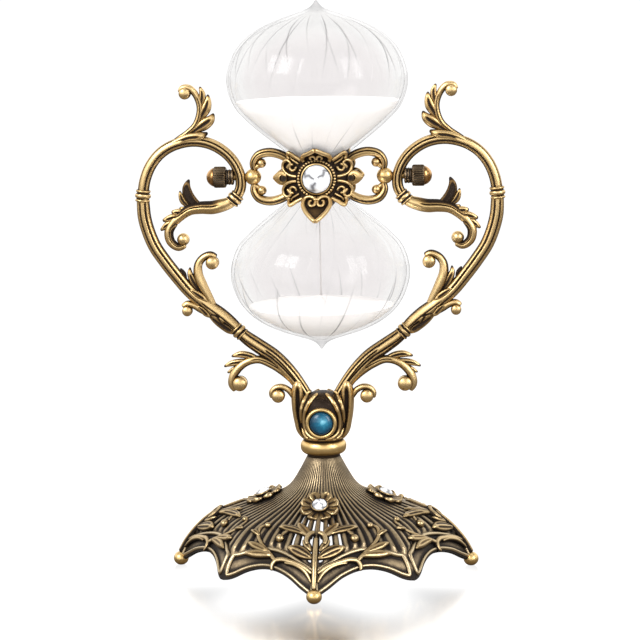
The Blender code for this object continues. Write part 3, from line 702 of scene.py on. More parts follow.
# Real grooves, with painted shade on the inner and outer edges of each strip.
HOOP_CUT = carve(
    (lambda u: 0.36 + 0.12 * u, 0.13, 0.2, 0.0, 0.56), (lambda u: -0.42 + 0.06 * u, 0.15, 0.24, 0.0, 1.0),
    (0.8, 0.06, 0.05, 0.5, 1.0), inner=(0.75, -0.62), outer=(0.3, 0.86),
)
LOWER_CUT = carve(
    (0.46, 0.11, 0.2, 0.035, 0.74), (lambda u: -0.42 + 0.1 * rise(u, 0.4, 0.7), 0.13, 0.22, 0.035, 0.7),
    (0.08, 0.08, 0.14, 0.73, 0.985), (0.5, 0.24, 0.3, 0.9, 0.975),
    (lambda u: 0.75 - 9 * (u - 0.8), 0.12, 0.22, 0.79, 0.87),
    (lambda u: 0.3 + 9 * (u - 0.84), 0.12, 0.22, 0.84, 0.9), (0.62, 0.2, 0.24, 0.73, 0.79),
    inner=(0.85, -0.72), outer=(0.5, 0.82),
)
ROOT_CUT = carve(
    (-0.62, 0.1, 0.2, 0.05, 0.95), (lambda u: 0.42 - 0.42 * u, 0.11, 0.22, 0.04, 0.98),
    (lambda u: -0.2 + 0.1 * u, 0.07, 0.14, 0.3, 0.98), (0.74, 0.12, 0.2, 0.03, 0.5), inner=(0.75, -0.8),
    outer=(0.7, 0.8),
)


# A tail strip with a real groove, and painted shade along its upper side, then its inner side past the bend.
def tail_cut(u, across, front):
    turn = rise(u, 0.5, 0.72)  # past the bend the side under painted shade changes over
    side = across * (1 - 2 * turn)
    groove = bell((side - 0.2) / 0.1) * rise(u, 0.12, 0.2)
    return 1 - 0.16 * groove, 0.9 * groove + 0.8 * rise(side, 0.25, 0.6) * rise(u, 0.05, 0.25)


HOOP_LEAVES = [
    [(66.5, 188.6, 0.8), (62.2, 190.6, 1.6), (57, 192.4, 2), (52, 193.1, 1.9), (48.7, 194.5, 0.5)],
    [(56.4, 193.8, 0.8), (53.2, 196.2, 1.8), (49.8, 198.4, 2.6), (47.2, 200.5, 2), (45.8, 203.1, 0.4)],
    [(52.2, 199, 0.8), (50.7, 202.4, 1.8), (49, 205.5, 2.2), (48.2, 208.6, 1.5), (48.2, 211.4, 0.4)],
    [(51.8, 205.4, 0.7), (50.9, 208.7, 1.5), (50.6, 211.6, 1.4), (51.7, 214.8, 0.4)],
]
TAIL_LEAVES = [
    [(52.6, 162.2, 1.4), (55.8, 164.2, 2.3), (57.9, 167.2, 2.4), (58.5, 170.8, 1.8), (57.3, 174.2, 0.4)],
    [(57.6, 162.2, 0.8), (60.2, 164.6, 1.5), (61.2, 167, 1.1), (61.6, 169.2, 0.3)],
    [(55, 160.2, 0.8), (58.6, 160.6, 1.6), (62, 161.6, 0.5)],
    [(58.6, 158.8, 0.8), (62, 159.4, 1.9), (65.6, 159.8, 0.6)],
    [(60.8, 157.4, 0.8), (64.8, 157.2, 1.9), (69.6, 155.9, 0.6)],
    [(62.8, 155.4, 0.8), (66.6, 154.4, 1.7), (70.6, 151.6, 0.5)],
]
CURL_LEAF = [(51.2, 121.4, 0.6), (54.5, 125.6, 1.5), (56.7, 129.2, 1.8), (58, 132.6, 1.2), (57.9, 135.2, 0.3)]
TEARDROP = [(49.8, 113, 0.4), (46.8, 111, 1.5), (43.6, 108.9, 2), (40.7, 107, 1.9), (38.6, 105.7, 1)]
S_LEAF = [(54.8, 118, 0.4), (52.8, 116.4, 1.2), (51, 114.5, 1.3), (49.2, 113, 0.5)]
ARM_LOOP = [(57.8, 125.4, 0.4), (55.4, 123.8, 1.25), (52.8, 122, 1.35), (50.2, 120, 0.5)]
ARM_LEAF = [(60.2, 129.6, 0.8), (61, 132.4, 1.2), (62.2, 134.8, 0.3)]
BRANCH_LEAVES = [
    [(27.6, 93.2, 0.9), (32, 95.2, 1.6), (36, 95.9, 1.6), (40.4, 95, 0.4)],
    [(31.6, 92.6, 0.8), (36.6, 92.4, 1.6), (40.6, 91.8, 1.3), (43.8, 90.4, 0.4)],
    [(34.6, 90.6, 0.7), (38.6, 89.6, 1.2), (42.4, 87.6, 0.4)],
]


def curl(shape, path, name, side, section=CURL_STRIP, deep=1.2):
    """A strip ending in a ball whose eye is raised into a low dome on either side."""
    x, z, radius = BALLS[name]
    shape.add(strip(path, deep, section, sides=28, step=0.5, blunt=(0, 0.6)), side)
    # Painted shade on the underside of the ball.
    shape.add(ball((x, 0, z), radius, 1.0, painted_shade_underneath=0.15), side)
    dome = [(0.98, 0.62, 0.35), (0.86, 0.9, 0), (0.5, 1.12, 0), (0.1 / radius, 1.2, 0)]
    for way in (-1, 1):
        rows = [(r * radius, along * radius, patina_and_shade) for r, along, patina_and_shade in dome]
        shape.add(lathe(rows, 28, (x, 0, z), (0, way, 0), 0.3), side)


def collar(above, below, beads):
    """A sleeve over the joint between two lengths of arm: beads are rows of (radius, along, sunk)."""
    middle = ((above[0] + below[0]) / 2, 0, (above[1] + below[1]) / 2)
    axis = (below[0] - above[0], 0, below[1] - above[1])
    return lathe(beads, 40, middle, axis, 0.16)


DOUBLE_BEAD = [
    (2.4, -2.6, 0.8), (3.1, -2.5, 0.3), (3.25, -2, 0), (2.95, -1.5, 0.2), (2.75, -1.3, 1), (2.8, -1.1, 1),
    (3.3, -0.75, 0), (3.5, 0, 0), (3.3, 0.75, 0), (2.8, 1.1, 1), (2.75, 1.3, 1), (2.95, 1.5, 0.2),
    (3.3, 2, 0), (3.1, 2.5, 0.3), (2.4, 2.6, 0.8),
]
TWIN_BAND = [
    (2.5, -2.3, 0.6), (3.1, -2.2, 0.1), (3.2, -1.75, 0), (2.95, -1.4, 1), (2.9, -0.95, 1), (3.35, -0.6, 0.05),
    (3.45, 0, 0), (3.35, 0.6, 0.05), (2.9, 0.95, 1), (2.95, 1.4, 1), (3.25, 1.75, 0), (3.15, 2.2, 0.1),
    (2.5, 2.3, 0.6),
]


def arm(name, side):
    hoop = Shape().add(strip(HOOP, 1.0, HOOP_CUT, sides=64), side)
    both_faces(hoop, leaf(HOOP_LEAVES[0], 0.8, -1.3, width=0.3, inset=0.35), side)
    for path in HOOP_LEAVES[1:]:
        hoop.add(leaf(path, 0.85), side)
    # The acanthus curl: a real groove and painted shade on its inner edge.
    curl(hoop, ACANTHUS, "acanthus", side, carve((0.1, 0.16, 0.16, 0, 0.72), inner=(0.8, -0.3)), 1.15)
    hoop.make(f"hoop_{name}", ANTIQUE, "stand", f"arm_hoop_{name}")

    tail = Shape().add(strip(TAIL, 1.05, tail_cut, sides=44, step=0.5, blunt=(0, 0.8)), side)
    # The first two tail leaves are darkened all over with painted shade, the first much more.
    tail.add(leaf(TAIL_LEAVES[0], 0.75, low=0.5, width=0.5, inset=0.3), side)
    tail.add(leaf(TAIL_LEAVES[1], 0.8, low=0.1), side)
    for path in TAIL_LEAVES[2:]:
        tail.add(leaf(path, 0.95, width=0.3), side)
    x, z, radius = BALLS["tail"]
    tail.add(ball((x, 0, z), radius, 1.1), side)
    tail.make(f"tail_{name}", ANTIQUE, "stand", f"tail_scroll_{name}")

    lower = Shape().add(strip(LOWER_ARM, 1.0, LOWER_CUT, sides=72, step=0.45), side)
    # ARM_LEAF is darkened all over with painted shade.
    lower.add(leaf(CURL_LEAF, 1.0), side).add(leaf(ARM_LEAF, 1.0, low=0.8), side)
    lower.add(leaf(TEARDROP, 1.5, width=0.6, tip=0.0, end=0.95), side)
    both_faces(lower, leaf(S_LEAF, 0.8, -1.7, width=0.45, tip=0.3), side)
    both_faces(lower, leaf(ARM_LOOP, 0.8, -2.3, width=0.45, tip=0.2), side)
    curl(lower, INNER_CURL, "inner", side)
    curl(lower, OUTER_CURL, "outer", side)
    lower.make(f"lower_arm_{name}", ANTIQUE, "stand", f"arm_lower_{name}")

    root = Shape().add(strip(ROOT, 1.05, ROOT_CUT, sides=64, step=0.5), side)
    for path in BRANCH_LEAVES:
        root.add(leaf(path, 1.0, width=0.28), side)
    # The branch curl: a real groove and painted shade on its edges.
    curl(
        root, BRANCH_CURL, "branch", side,
        carve((0.15, 0.14, 0.14, 0, 0.6), inner=(0.9, -0.3), outer=(0.3, 0.8)),
    )
    root.make(f"root_{name}", ANTIQUE, "stand", f"arm_root_{name}")

    ends = {
        "inner": (HOOP[0], TAIL[0], TWIN_BAND), "middle": (HOOP[-1], LOWER_ARM[0], DOUBLE_BEAD),
        "lower": (LOWER_ARM[-1], ROOT[0], TWIN_BAND),
    }
    for place, joint in ends.items():
        node = f"collar_{place}_{name}"
        sleeve = Shape().add(collar(*joint), side)
        sleeve.make(f"beaded_{node}", ANTIQUE, "stand", node, slot="polished_brass")


# --- lotus, neck ring and stone ---


def neck_ring():
    ring = [
        (2.6, 50.3, 1), (7.3, 50.3, 1), (7.4, 51.3, 1), (8.8, 51.7, 0.6), (9.8, 52.7, 0.1), (10.2, 54.2, 0),
        (10.1, 55.6, 0), (9.4, 56.9, 0.1), (8.5, 57.5, 0.5), (7.5, 57.8, 1), (2.6, 57.9, 1),
    ]
    Shape().add(lathe(ring, 72, step=0.3)).make("neck_band", POLISHED, "stand", "neck_ring")


CUP = [
    (3, 57.2, 1), (8, 57.3, 0.9), (8.6, 59, 0.6), (9, 62, 0.6), (9.8, 68, 0.75), (10.2, 72, 0.8),
    (9.4, 75.4, 0.8), (7.2, 77.6, 0.7), (4.2, 79, 0.7), (0.5, 79.4, 0.9),
]
CUP_FOOT = [(7.4, 57.6, 1), (9.1, 58, 0.7), (9.3, 58.7, 0.2), (8.9, 59.4, 0.4), (8.2, 59.6, 1)]
OUTER_PETAL = [
    (7.8, 58.4, 1.5), (9.2, 61.8, 2.6), (10, 66, 2.9), (10.6, 71, 3.1), (10.9, 76, 3.1), (10.9, 80.4, 2.8),
    (10.9, 83.4, 2.1), (10.8, 85.4, 1),
]
BACK_PETAL = [(0, 57.8, 1.2), (0, 62, 3.4), (0, 67, 4.4), (0, 71.5, 3.2), (0, 75.4, 0.5)]
INNER_STRAND = [
    (1.9, 78.9, 0.7), (4.3, 76.8, 1), (6.4, 73.4, 1.05), (7.6, 69.2, 1), (7.7, 65, 0.95), (6.8, 61.6, 0.9),
    (4.6, 59.8, 0.85), (1.4, 59.2, 0.8),
]
OUTER_STRAND = [
    (5.4, 79.6, 0.8), (7.4, 76.8, 1), (8.8, 72.8, 1.1), (9.3, 67.4, 1.05), (9, 63, 0.95), (7.8, 60.2, 0.9),
    (6, 58.8, 0.8),
]


def on_cup(path, lift):
    """A strand laid on the front of the cup."""
    place, length = curve(path, 2)
    s, size = stations(length, 0.4, (0.4, 0.4))
    rows = place(s)
    girth = np.interp(rows[:, 1], [h for _, h, _ in CUP], [r for r, _, _ in CUP])
    depth = -np.sqrt(np.maximum(girth**2 - rows[:, 0] ** 2, 2.0)) - lift
    points = np.column_stack([rows[:, 0], depth, rows[:, 1]])
    wide = rows[:, 2] * size
    # Painted shade on both edges of the strand.
    return sweep(points, wide, wide, FRONT, carve(inner=(0.7, -0.55), outer=(0.5, 0.7)), 20)


def lotus():
    cup = Shape().add(lathe(CUP, 72, step=0.4)).add(lathe(CUP_FOOT, 72, step=0.25))
    for side in SIDES.values():
        cup.add(strip(OUTER_PETAL, 1.7, leaf_relief(0.45, 0.42, 0.08, 0.92, 0.0), 44, 0.4, (0.5, 0.5)), side)
        both_faces(cup, on_cup(INNER_STRAND, 0.5), side)
        both_faces(cup, on_cup(OUTER_STRAND, 0.3), side)
        curl(cup, SOCKET_CURL, "socket", side)
    # The back petal is darkened all over a little with painted shade.
    cup.add(leaf(BACK_PETAL, 0.5, 9.6, low=0.1, tip=0.2))
    cup.make("lotus_cup", ANTIQUE, "stand", "lotus_socket")


def stone():
    way = {"centre": (0, 0, STONE_Z), "axis": (0, -1, 0)}
    bezel = [
        (0.6, 8.9, 1), (6.4, 8.9, 0.9), (6.85, 10.4, 0.5), (6.9, 11.6, 0.1), (6.6, 12.4, 0), (6.1, 12.6, 0),
        (5.5, 12.35, 0), (5.2, 11.8, 0.5), (5.2, 10, 1), (0.6, 10, 1),
    ]
    Shape().add(lathe(bezel, 64, step=0.25, **way)).make("bezel", POLISHED, "stand", "stone_bezel")
    dome = [(5.1, 10.3), (5.15, 11.6), (4.9, 12.4), (4.2, 13.1), (2.8, 13.8), (1.2, 14.15), (0.1, 14.2)]
    Shape().add(lathe(dome, 64, step=0.25, **way)).make("cabochon", STONE, "stand", "blue_stone")


# --- canopy base ---

RIB = math.radians(5)
RIB_SHARE = 0.42  # half the width of a rib, in pitches
PITCH = TAU / CUSPS
MAIN = TAU / 4  # between main ribs
RIM_R, CUSP_OUT = 61.0, 3.85
RIM_BAND = 7.0
LIP_IN, LIP_OUT = 6.1, 0.9
SLOT_FROM, SLOT_HALF = 27.0, math.radians(13.5)
MAIN_ARC = [
    (0, 1.3), (0.07, 1.2), (0.14, 1.07), (0.27, 0.83), (0.36, 0.65), (0.47, 0.45), (0.6, 0.27), (0.78, 0.09),
    (1, 0),
]
SIDE_ARC = [(0, 1), (0.14, 0.93), (0.27, 0.76), (0.36, 0.6), (0.47, 0.42), (0.6, 0.25), (0.78, 0.08), (1, 0)]


def offset_from(azimuth, pitch):
    """The angle from the nearest multiple of pitch."""
    return (azimuth + pitch / 2) % pitch - pitch / 2


def canopy_spread(level, azimuth):
    """Share of a skin point's nominal radius that it really has: 1 on the main ribs, less between."""
    from_middle = PITCH / 2 - np.abs(offset_from(azimuth, PITCH))
    envelope = (63.5 + 2.5 * np.cos(4 * azimuth)) / 66.0
    flat_panel = envelope * math.cos(PITCH / 2) / np.cos(from_middle)
    return 1 + np.clip((level - CANOPY[0][0]) / 25, 0, 1) * (flat_panel - 1)


def canopy_rim(azimuth):
    """Nominal radius of the rim, which is cut in an arc between the cusps."""
    across = 2 * np.abs(offset_from(azimuth, PITCH)) / PITCH
    main, between = (
        curve(rows, 1)[0](np.ravel(across))[:, 1].reshape(np.shape(across)) for rows in (MAIN_ARC, SIDE_ARC)
    )
    return RIM_R + CUSP_OUT * np.where(np.cos(4 * azimuth) > 0, main, between)


def trimmed_rim(azimuth):
    """The rim with the points of the intermediate cusps cut off."""
    from_cusp = MAIN / 2 - np.abs(offset_from(azimuth, MAIN))
    cut = canopy_rim(np.full_like(azimuth, MAIN / 2 - 0.05)) + 0.2
    return np.minimum(canopy_rim(azimuth), np.where(from_cusp < 0.05, cut, 99))


def canopy_profile():
    place, length = curve(CANOPY, 2)
    rows = place(np.linspace(0, length, 400))
    return rows[:, 0], rows[:, 1]


PROFILE = canopy_profile()


def skin(level, azimuth):
    """Points of the canopy's skin at nominal radii and azimuths."""
    level, azimuth = np.broadcast_arrays(np.asarray(level, float), np.asarray(azimuth, float))
    return around(level * canopy_spread(level, azimuth), azimuth, np.interp(level, *PROFILE))


def skin_normal(level, azimuth):
    out = skin(level + 0.4, azimuth) - skin(level - 0.4, azimuth)
    round_ = skin(level, azimuth + 0.01) - skin(level, azimuth - 0.01)
    return unit(np.cross(out, round_))


def canopy_level(radius, azimuth):
    level = np.array(radius, float)
    for _ in range(8):
        level = radius / canopy_spread(level, azimuth)
    return level


def on_canopy(turn, rows, lift):
    """Places above the skin for rows of (out along a main rib, across it): (points, normals)."""
    rows = np.asarray(rows, float)
    radius, azimuth = np.hypot(rows[:, 0], rows[:, 1]), turn + np.arctan2(rows[:, 1], rows[:, 0])
    level = canopy_level(radius, azimuth)
    normals = skin_normal(level, azimuth)
    return skin(level, azimuth) + normals * np.reshape(lift, (-1, 1)), normals


def lip_end(azimuth, way):
    """The round end that joins the two lips of a scallop, in (nominal radius, azimuth)."""
    turns = np.linspace(0, np.pi, 9)[1:-1]
    middle = canopy_rim(azimuth) - (LIP_IN + LIP_OUT) / 2
    return np.column_stack(
        [middle - way * (LIP_IN - LIP_OUT) / 2 * np.cos(turns), azimuth + way * 0.012 * np.sin(turns)]
    )


def scallop(k):
    """The two bright lips of a scallop, joined round its ends and thinner along its edge."""
    middle = PITCH * (k + 0.5)
    start, end = (0.02, 0.04) if k % 2 == 0 else (0.04, 0.02)
    upper = np.linspace(middle - PITCH / 2 + start, middle + PITCH / 2 - end, 61)
    lower = upper[::-1]
    loop = np.vstack([
        np.column_stack([canopy_rim(upper) - LIP_IN, upper]), lip_end(upper[-1], 1),
        np.column_stack([canopy_rim(lower) - LIP_OUT, lower]), lip_end(lower[-1], -1),
    ])
    above = skin_normal(loop[:, 0], loop[:, 1])
    from_low = np.arange(len(loop)) - 98  # rows from the middle of the lower lip
    size = 1.05 - 0.3 * np.exp(-(from_low / 34) ** 6)
    points = skin(loop[:, 0], loop[:, 1]) + above * 0.1
    # Faint painted shade on both edges of the lips.
    return sweep(
        points, size, size * 1.05, above, carve(inner=(0.1, -0.8), outer=(0.1, 0.8)), 18, closed=True,
    )


def canopy():
    columns = 576  # eight to a rib
    azimuth = TAU * (np.arange(columns) + 0.5) / columns
    rim = trimmed_rim(azimuth)
    inner = np.linspace(0, 1, 46) ** 0.95
    steps = [0.08, 0.16, 0.23, 0.3, 0.4, 0.52, 0.64, 0.76, 0.88, 1.0]
    levels = [CANOPY[0][0] + (rim - RIM_BAND - CANOPY[0][0]) * share for share in inner]
    level = np.array(levels + [rim - RIM_BAND + step * RIM_BAND for step in steps])
    to_rim = rim - level

    across = offset_from(azimuth, RIB) / RIB
    shape = np.sqrt(np.clip(1 - (across / RIB_SHARE) ** 2, 0, 1))
    full = rise(level, 7.3, 9.0) * (1 - rise(-to_rim + RIM_BAND, -1.2, 0.2))
    height = np.minimum((0.1 + 0.25 * rise(level, 11, 24)) * RIB * level, 1.0) * shape * full
    patina_and_shade = full * (1.0 - shape**1.5) * (0.7 + 0.6 * rise(level, 12, 24))
    band = 0.24 + 0.7 * bell((to_rim - 5.0) / 0.6) + 0.8 * (1 - rise(to_rim, 0.6, 2.6))
    patina_and_shade += band * (1 - rise(to_rim, RIM_BAND - 0.6, RIM_BAND))
    # Painted shade darkens the top of the slope round the neck; the outer slope is a little darker too.
    patina_and_shade += 0.16 * rise(level, 14, 30) + 0.26 * (1 - rise(level, 11, 20))

    between = azimuth + TAU / columns / 2  # the middles of the faces
    mid_level = (level[:-1] + level[1:]) / 2
    slot = (np.abs(offset_from(between, RIB) / RIB) > 0.37) & (np.abs(offset_from(between, MAIN)) < SLOT_HALF)
    slot = slot[None] & (mid_level > SLOT_FROM) & (mid_level < (rim - RIM_BAND - 0.8)[None])
    quads = np.array(ring_faces(len(level), columns)).reshape(len(level) - 1, columns, 4)[~slot]
    normals = skin_normal(level, azimuth)
    verts = skin(level, azimuth) + normals * height[..., None]
    dome = Shape()
    # The canopy's underside gets painted shade.
    dome.add(
        thick(verts.reshape(-1, 3), quads[:, ::-1], normals.reshape(-1, 3), METAL_WALL, patina_and_shade.reshape(-1), 0.8)
    )
    top = [
        (2.6, 46.2, 1), (2.6, 50.1, 1), (7.0, 50.15, 0.5), (7.5, 49.9, 0), (7.45, 49.3, 0), (7.2, 48.0, 0.6),
        (6.0, 46.2, 1),
    ]
    dome.add(lathe(top, 72, step=0.3, sharp=True, closed=True))
    for k in range(CUSPS):
        dome.add(scallop(k))
    dome.make("ribbed_canopy", OLIVE, "stand", "base_canopy")


# Lace as rows of (out along a main rib, across it, half-width); all but the stem are on both its sides.
LACE_STEM = [(64.4, 0, 1.1), (58, 0, 1.2), (53, 0, 1.2), (48.6, 0, 1.1)]
LACE_ARCH = [(50.8, 2.9, 0.9), (48.8, 3.4, 1.2), (46.8, 2.6, 1.35), (46, 0.3, 1.3)]
LACE_BUDS = [(42.6, 15.6, 1.9), (32.8, 22, 1.4)]
LACE_WIRES = [
    [
        (60.6, 0.6, 0.9), (57, 5, 1.15), (53.2, 10.6, 1.2), (50.4, 15.4, 1.3), (49.9, 17.4, 1.25),
        (50.6, 18.6, 1.1), (51.9, 18.5, 0.7),
    ],
    [(62.6, 0.8, 0.7), (59.2, 3.4, 1.15), (55.6, 7.6, 1.15), (52.4, 13, 0.8)],
    [(43.4, 5.4, 0.8), (40.6, 8.6, 1), (39.6, 12.4, 1), (41.2, 15, 0.9)],
    [
        (50.4, 16.8, 1), (45.6, 20.4, 1.15), (40.6, 24, 1.05), (36, 25.8, 0.95), (32.6, 24.8, 0.95),
        (32.2, 22.6, 0.9),
    ],
]
LACE_LEAVES = [  # with whether the leaf is veined
    ([(56.4, 0.6, 0.6), (53.4, 4.2, 2.5), (50.4, 8, 2.6), (47.7, 12.2, 0.4)], True),
    ([(53.6, 1.2, 0.5), (50.4, 3.4, 1.7), (47.4, 5.4, 0.4)], False),
    ([(47.8, 1.8, 0.7), (44.2, 4.2, 2.1), (40, 6.6, 2), (35.6, 8.6, 0.4)], False),
    ([(44.6, 5.2, 0.7), (40.6, 9, 2), (37.8, 13, 1.9), (35.6, 17, 0.4)], True),
    ([(47.8, 18.6, 0.7), (44.6, 23.4, 2.1), (42.6, 27.4, 1.9), (41, 31.4, 0.4)], False),
    ([(46, 20, 0.6), (42, 24.6, 1.8), (39.6, 27.6, 1.7), (37.6, 30.2, 0.4)], False),
    ([(37, 25.2, 0.5), (34.4, 27.4, 1.2), (32.8, 29.4, 0.3)], False),
]


def lay(path, turn, way, relief, deep=0.8, lift=0.9, sides=16, step=0.5):
    """A wire or leaf laid on the canopy beside a main rib; way is the side of the rib."""
    place, length = curve(path, 2)
    s, size = stations(length, step, (0.4, 0.4))
    rows = place(s)
    wide = np.maximum(rows[:, 2], 0.2) * size
    points, normals = on_canopy(turn, rows[:, :2] * np.array([1, way]), lift)
    return sweep(points, wide, np.minimum(wide, 1.3) * deep, normals, relief, sides)


def filigree():
    # Painted shade on both edges of every wire.
    wire = carve(inner=(0.9, -0.6), outer=(0.9, 0.6))
    for name, degrees in QUARTERS.items():
        turn = math.radians(degrees)
        lace = Shape().add(lay(LACE_STEM, turn, 1, wire, 1.1, 1.3, 20))
        for way in (-1, 1):
            lace.add(lay(LACE_ARCH, turn, way, wire, 1.0, 2.0, 18))
            for path in LACE_WIRES:
                lace.add(lay(path, turn, way, wire))
            for path, veined in LACE_LEAVES:
                # The leaves get painted shade along their outlines.
                relief = leaf_relief(0.34, 0.11, tip=0.1, veined=veined, edge=0.35)
                lace.add(lay(path, turn, way, relief, 1.0, 1.15, 28, 0.4))
            for out, across, radius in LACE_BUDS:
                spots, _ = on_canopy(turn, [(out, way * across)], [1.3])
                lace.add(ball(spots[0], radius, sides=18))
        lace.make(f"lace_{name}", LACE, "stand", f"filigree_panel_{name}", slot="antique_brass")


def flower_frame(turn, raised):
    """Turns a shape made about Z onto the rib at the flower's place; raised ones lean out a little more."""
    low, high = np.interp([FLOWER_R + 6, FLOWER_R - 6], *PROFILE)
    tilt = Matrix.Rotation(math.atan2(high - low, 12) + math.radians(11 if raised else 0), 4, "Y")
    place = Matrix.Translation(
        (FLOWER_R + 0.8, 0, float(np.interp(FLOWER_R, *PROFILE)) - (0.2 if raised else 1.1))
    )
    return Matrix.Rotation(turn, 4, "Z") @ place @ tilt


def faceted(rings, sides, centre=(0, 0, 0), axis=(0, 0, 1)):
    """A cut stone with a few facets darkened as painted dark reflections: rings of (radius, height), each
    turned half a facet more.
    """
    verts, faces = [], []
    for i, (radius, height) in enumerate(rings):
        verts.append(around(radius, TAU * (np.arange(sides) + 0.5 * (i % 2)) / sides, height))
        low, high = (i - 1) * sides, i * sides
        for j in range(sides if i else 0):
            k = (j + 1) % sides
            tip, foot = (k, j) if i % 2 == 0 else (j, k)
            faces += [(low + j, low + k, high + tip), (low + foot, high + k, high + j)]
    count = len(rings) * sides
    faces += [tuple(range(sides))[::-1], tuple(range(count - sides, count))]
    # Painted dark reflections on three facets of every ring but the first, and lighter painted shade on every
    # other facet.
    streak = [
        0.95 if i and j in (1, 5, 8) else 0.25 * (j % 2) for i in range(len(rings)) for j in range(sides)
    ]
    verts = onto(np.vstack(verts), centre, axis)
    return verts, outward(verts, faces), np.array(streak)


def spoon(u, across, front):
    """A petal hollowed on its top, with a dark slit towards the middle of the flower."""
    cup = bell(across / 0.5) * (front > 0) * rise(u, 0, 0.2) * (1 - rise(u, 0.82, 0.95))
    slit = bell(across / 0.14) * (front > 0) * (1 - rise(u, 0.6, 0.8))
    return 1 - 0.55 * cup, 0.35 * cup + 0.8 * slit


PETALS = 8
FLOWER_CUP = [
    (0.5, 1.2, 1), (3.4, 1.4, 1), (3.7, 2.8, 0.3), (3.85, 3.5, 0), (3.5, 3.9, 0), (3.2, 3.4, 1),
    (0.5, 2.6, 1),
]
FLOWER_STALK = [(0.5, -0.6, 0.8), (2.6, -0.5, 0.8), (2.4, 1.6, 0.8), (0.5, 1.7, 0.8)]


def flower(name, turn):
    place, length = curve([(2.6, 0, 1.4), (4.6, 0, 2.0), (6.6, 0, 2.6), (8.7, 0, 2.3)], 2)
    s, size = stations(length, 0.35, (0, 1.5))
    rows = place(s)
    points = np.column_stack([rows[:, 0], np.zeros(len(rows)), 1.7 + 0.03 * (rows[:, 0] - 3) ** 2])
    wide = rows[:, 2] * size
    petal = sweep(points, wide, np.minimum(wide, 1.1), (0, 0, 1), spoon, 28)
    here = flower_frame(turn, name in ("front", "back"))
    bloom = Shape()
    for k in range(PETALS):
        bloom.add(petal, move=here @ Matrix.Rotation(TAU * (k + 0.5) / PETALS, 4, "Z"))
    bloom.add(lathe(FLOWER_CUP, 40, step=0.25), move=here).add(lathe(FLOWER_STALK, 24), move=here)
    bloom.make(f"flower_head_{name}", LACE, "stand", f"flower_{name}", slot="antique_brass")
    gem = Shape().add(faceted([(1.6, 2.7), (3.3, 3.7), (2.9, 4.4), (1.9, 5.0), (0.7, 5.3)], 10), move=here)
    gem.make(f"flower_gem_{name}", CRYSTAL, "stand", f"flower_crystal_{name}", smooth=False)


def foot(name, turn):
    """A ball, flat underneath where it stands, and a little wider than it is tall, with painted shade on its
    lower half and its flat underside.
    """
    rows = [(0.3, -FOOT_Z, 0.6), (1.1, -FOOT_Z, 0.6)]
    for a in np.radians(np.linspace(-58, 86, 13)):
        rows.append((1.08 * FOOT_RADIUS * math.cos(a), FOOT_RADIUS * math.sin(a), 0.25 if a < 0 else 0))
    spot = (FOOT_R * math.cos(turn), FOOT_R * math.sin(turn), FOOT_Z)
    Shape().add(lathe(rows, 36, spot, step=0.3)).make(f"foot_{name}", POLISHED, "stand", f"ball_foot_{name}")


# --- cradle ---


def bulb_radius(height):
    return np.interp(np.abs(height), *zip(*BULB))


def smooth_bulb():
    top = [(r, h) for h, r in BULB[:-2]] + [(11.0, 70.3), (5.6, 72.2), (2.8, 73.6), (1.3, 75.1), (0.3, 76.6)]
    place, length = curve(top, 2)
    rows = place(np.linspace(0, length, 110))
    rows[:, 0] = np.maximum(rows[:, 0], 0.05)
    rows[0] = (BULB[0][1], 0)
    return rows


FLUTES = 22
SWIRL = 0.006  # radians of turn per mm of height
THREAD_R = 0.6  # what is thinner is the falling sand


def fluted(rows, steps, depth):
    """A skin of revolution, gently fluted; steps are the places of its columns within each flute."""
    radius, height = rows[:, :1], rows[:, 1:]
    turn = (TAU * np.add.outer(np.arange(FLUTES), np.array(steps)).ravel() / FLUTES)[None]
    near = rise(np.abs(height), 6, 16) * (1 - rise(np.abs(height), 66, 72))
    wave = np.abs(np.sin(FLUTES / 2 * turn)) ** 0.7
    # The valleys get painted dark lines, varying in strength from flute to flute, strongest near the waist
    # and the tips, faint across the middle of each bulb, with painted grey round the tips.
    which = np.round(FLUTES * turn / TAU)
    lively = 0.5 + 0.5 * np.sin(2.4 * which + 0.09 * height + np.sign(height))
    ends = 0.1 + 0.7 * (1 - rise(np.abs(height), 14, 26)) + 0.94 * rise(np.abs(height), 42, 52)
    valley = bell(np.sin(FLUTES / 2 * turn) / 0.11) * near * lively * ends
    valley = np.maximum(valley, 0.3 * rise(np.abs(height), 71, 74))
    verts = around(radius + depth * (wave - 0.6) * near, turn + SWIRL * height, height).reshape(-1, 3)
    return verts, outward(verts, tube(len(rows), turn.size)), valley.reshape(-1)


def inner_wall():
    """The cavity's (radius, height) from the waist up."""
    rows = smooth_bulb()
    along = unit(np.gradient(rows, axis=0))
    wall = rows - np.column_stack([along[:, 1], -along[:, 0]]) * GLASS_WALL
    wall = wall[(wall[:, 0] > 1.25) & (wall[:, 1] > 2.4) & (wall[:, 1] < 73.0)]
    return np.vstack([[(1.15, 0.0), (1.25, 1.6)], wall, [(0.3, float(wall[-1, 1]) + 0.05)]])


AT_PIVOT = Matrix.Translation((0, 0, PIVOT_Z))


def vessel():
    outside, inside = ([*(rows * (1, -1))[:0:-1], *rows] for rows in (smooth_bulb(), inner_wall()))
    fine = [-0.38, -0.27, -0.17, -0.1, -0.045, 0, 0.045, 0.1, 0.17, 0.27, 0.38, 0.5]
    shape = Shape().add(fluted(np.array(outside), fine, 0.42), move=AT_PIVOT)
    verts, faces, patina_and_shade = fluted(np.array(inside), [0, 0.2, 0.4, 0.6, 0.8], 0.12)
    shape.add((verts, [f[::-1] for f in faces], patina_and_shade * 0), move=AT_PIVOT)
    shape.make("blown_glass", GLASS, "cradle", "glass_vessel", "seal_tip_top", "seal_tip_bottom")


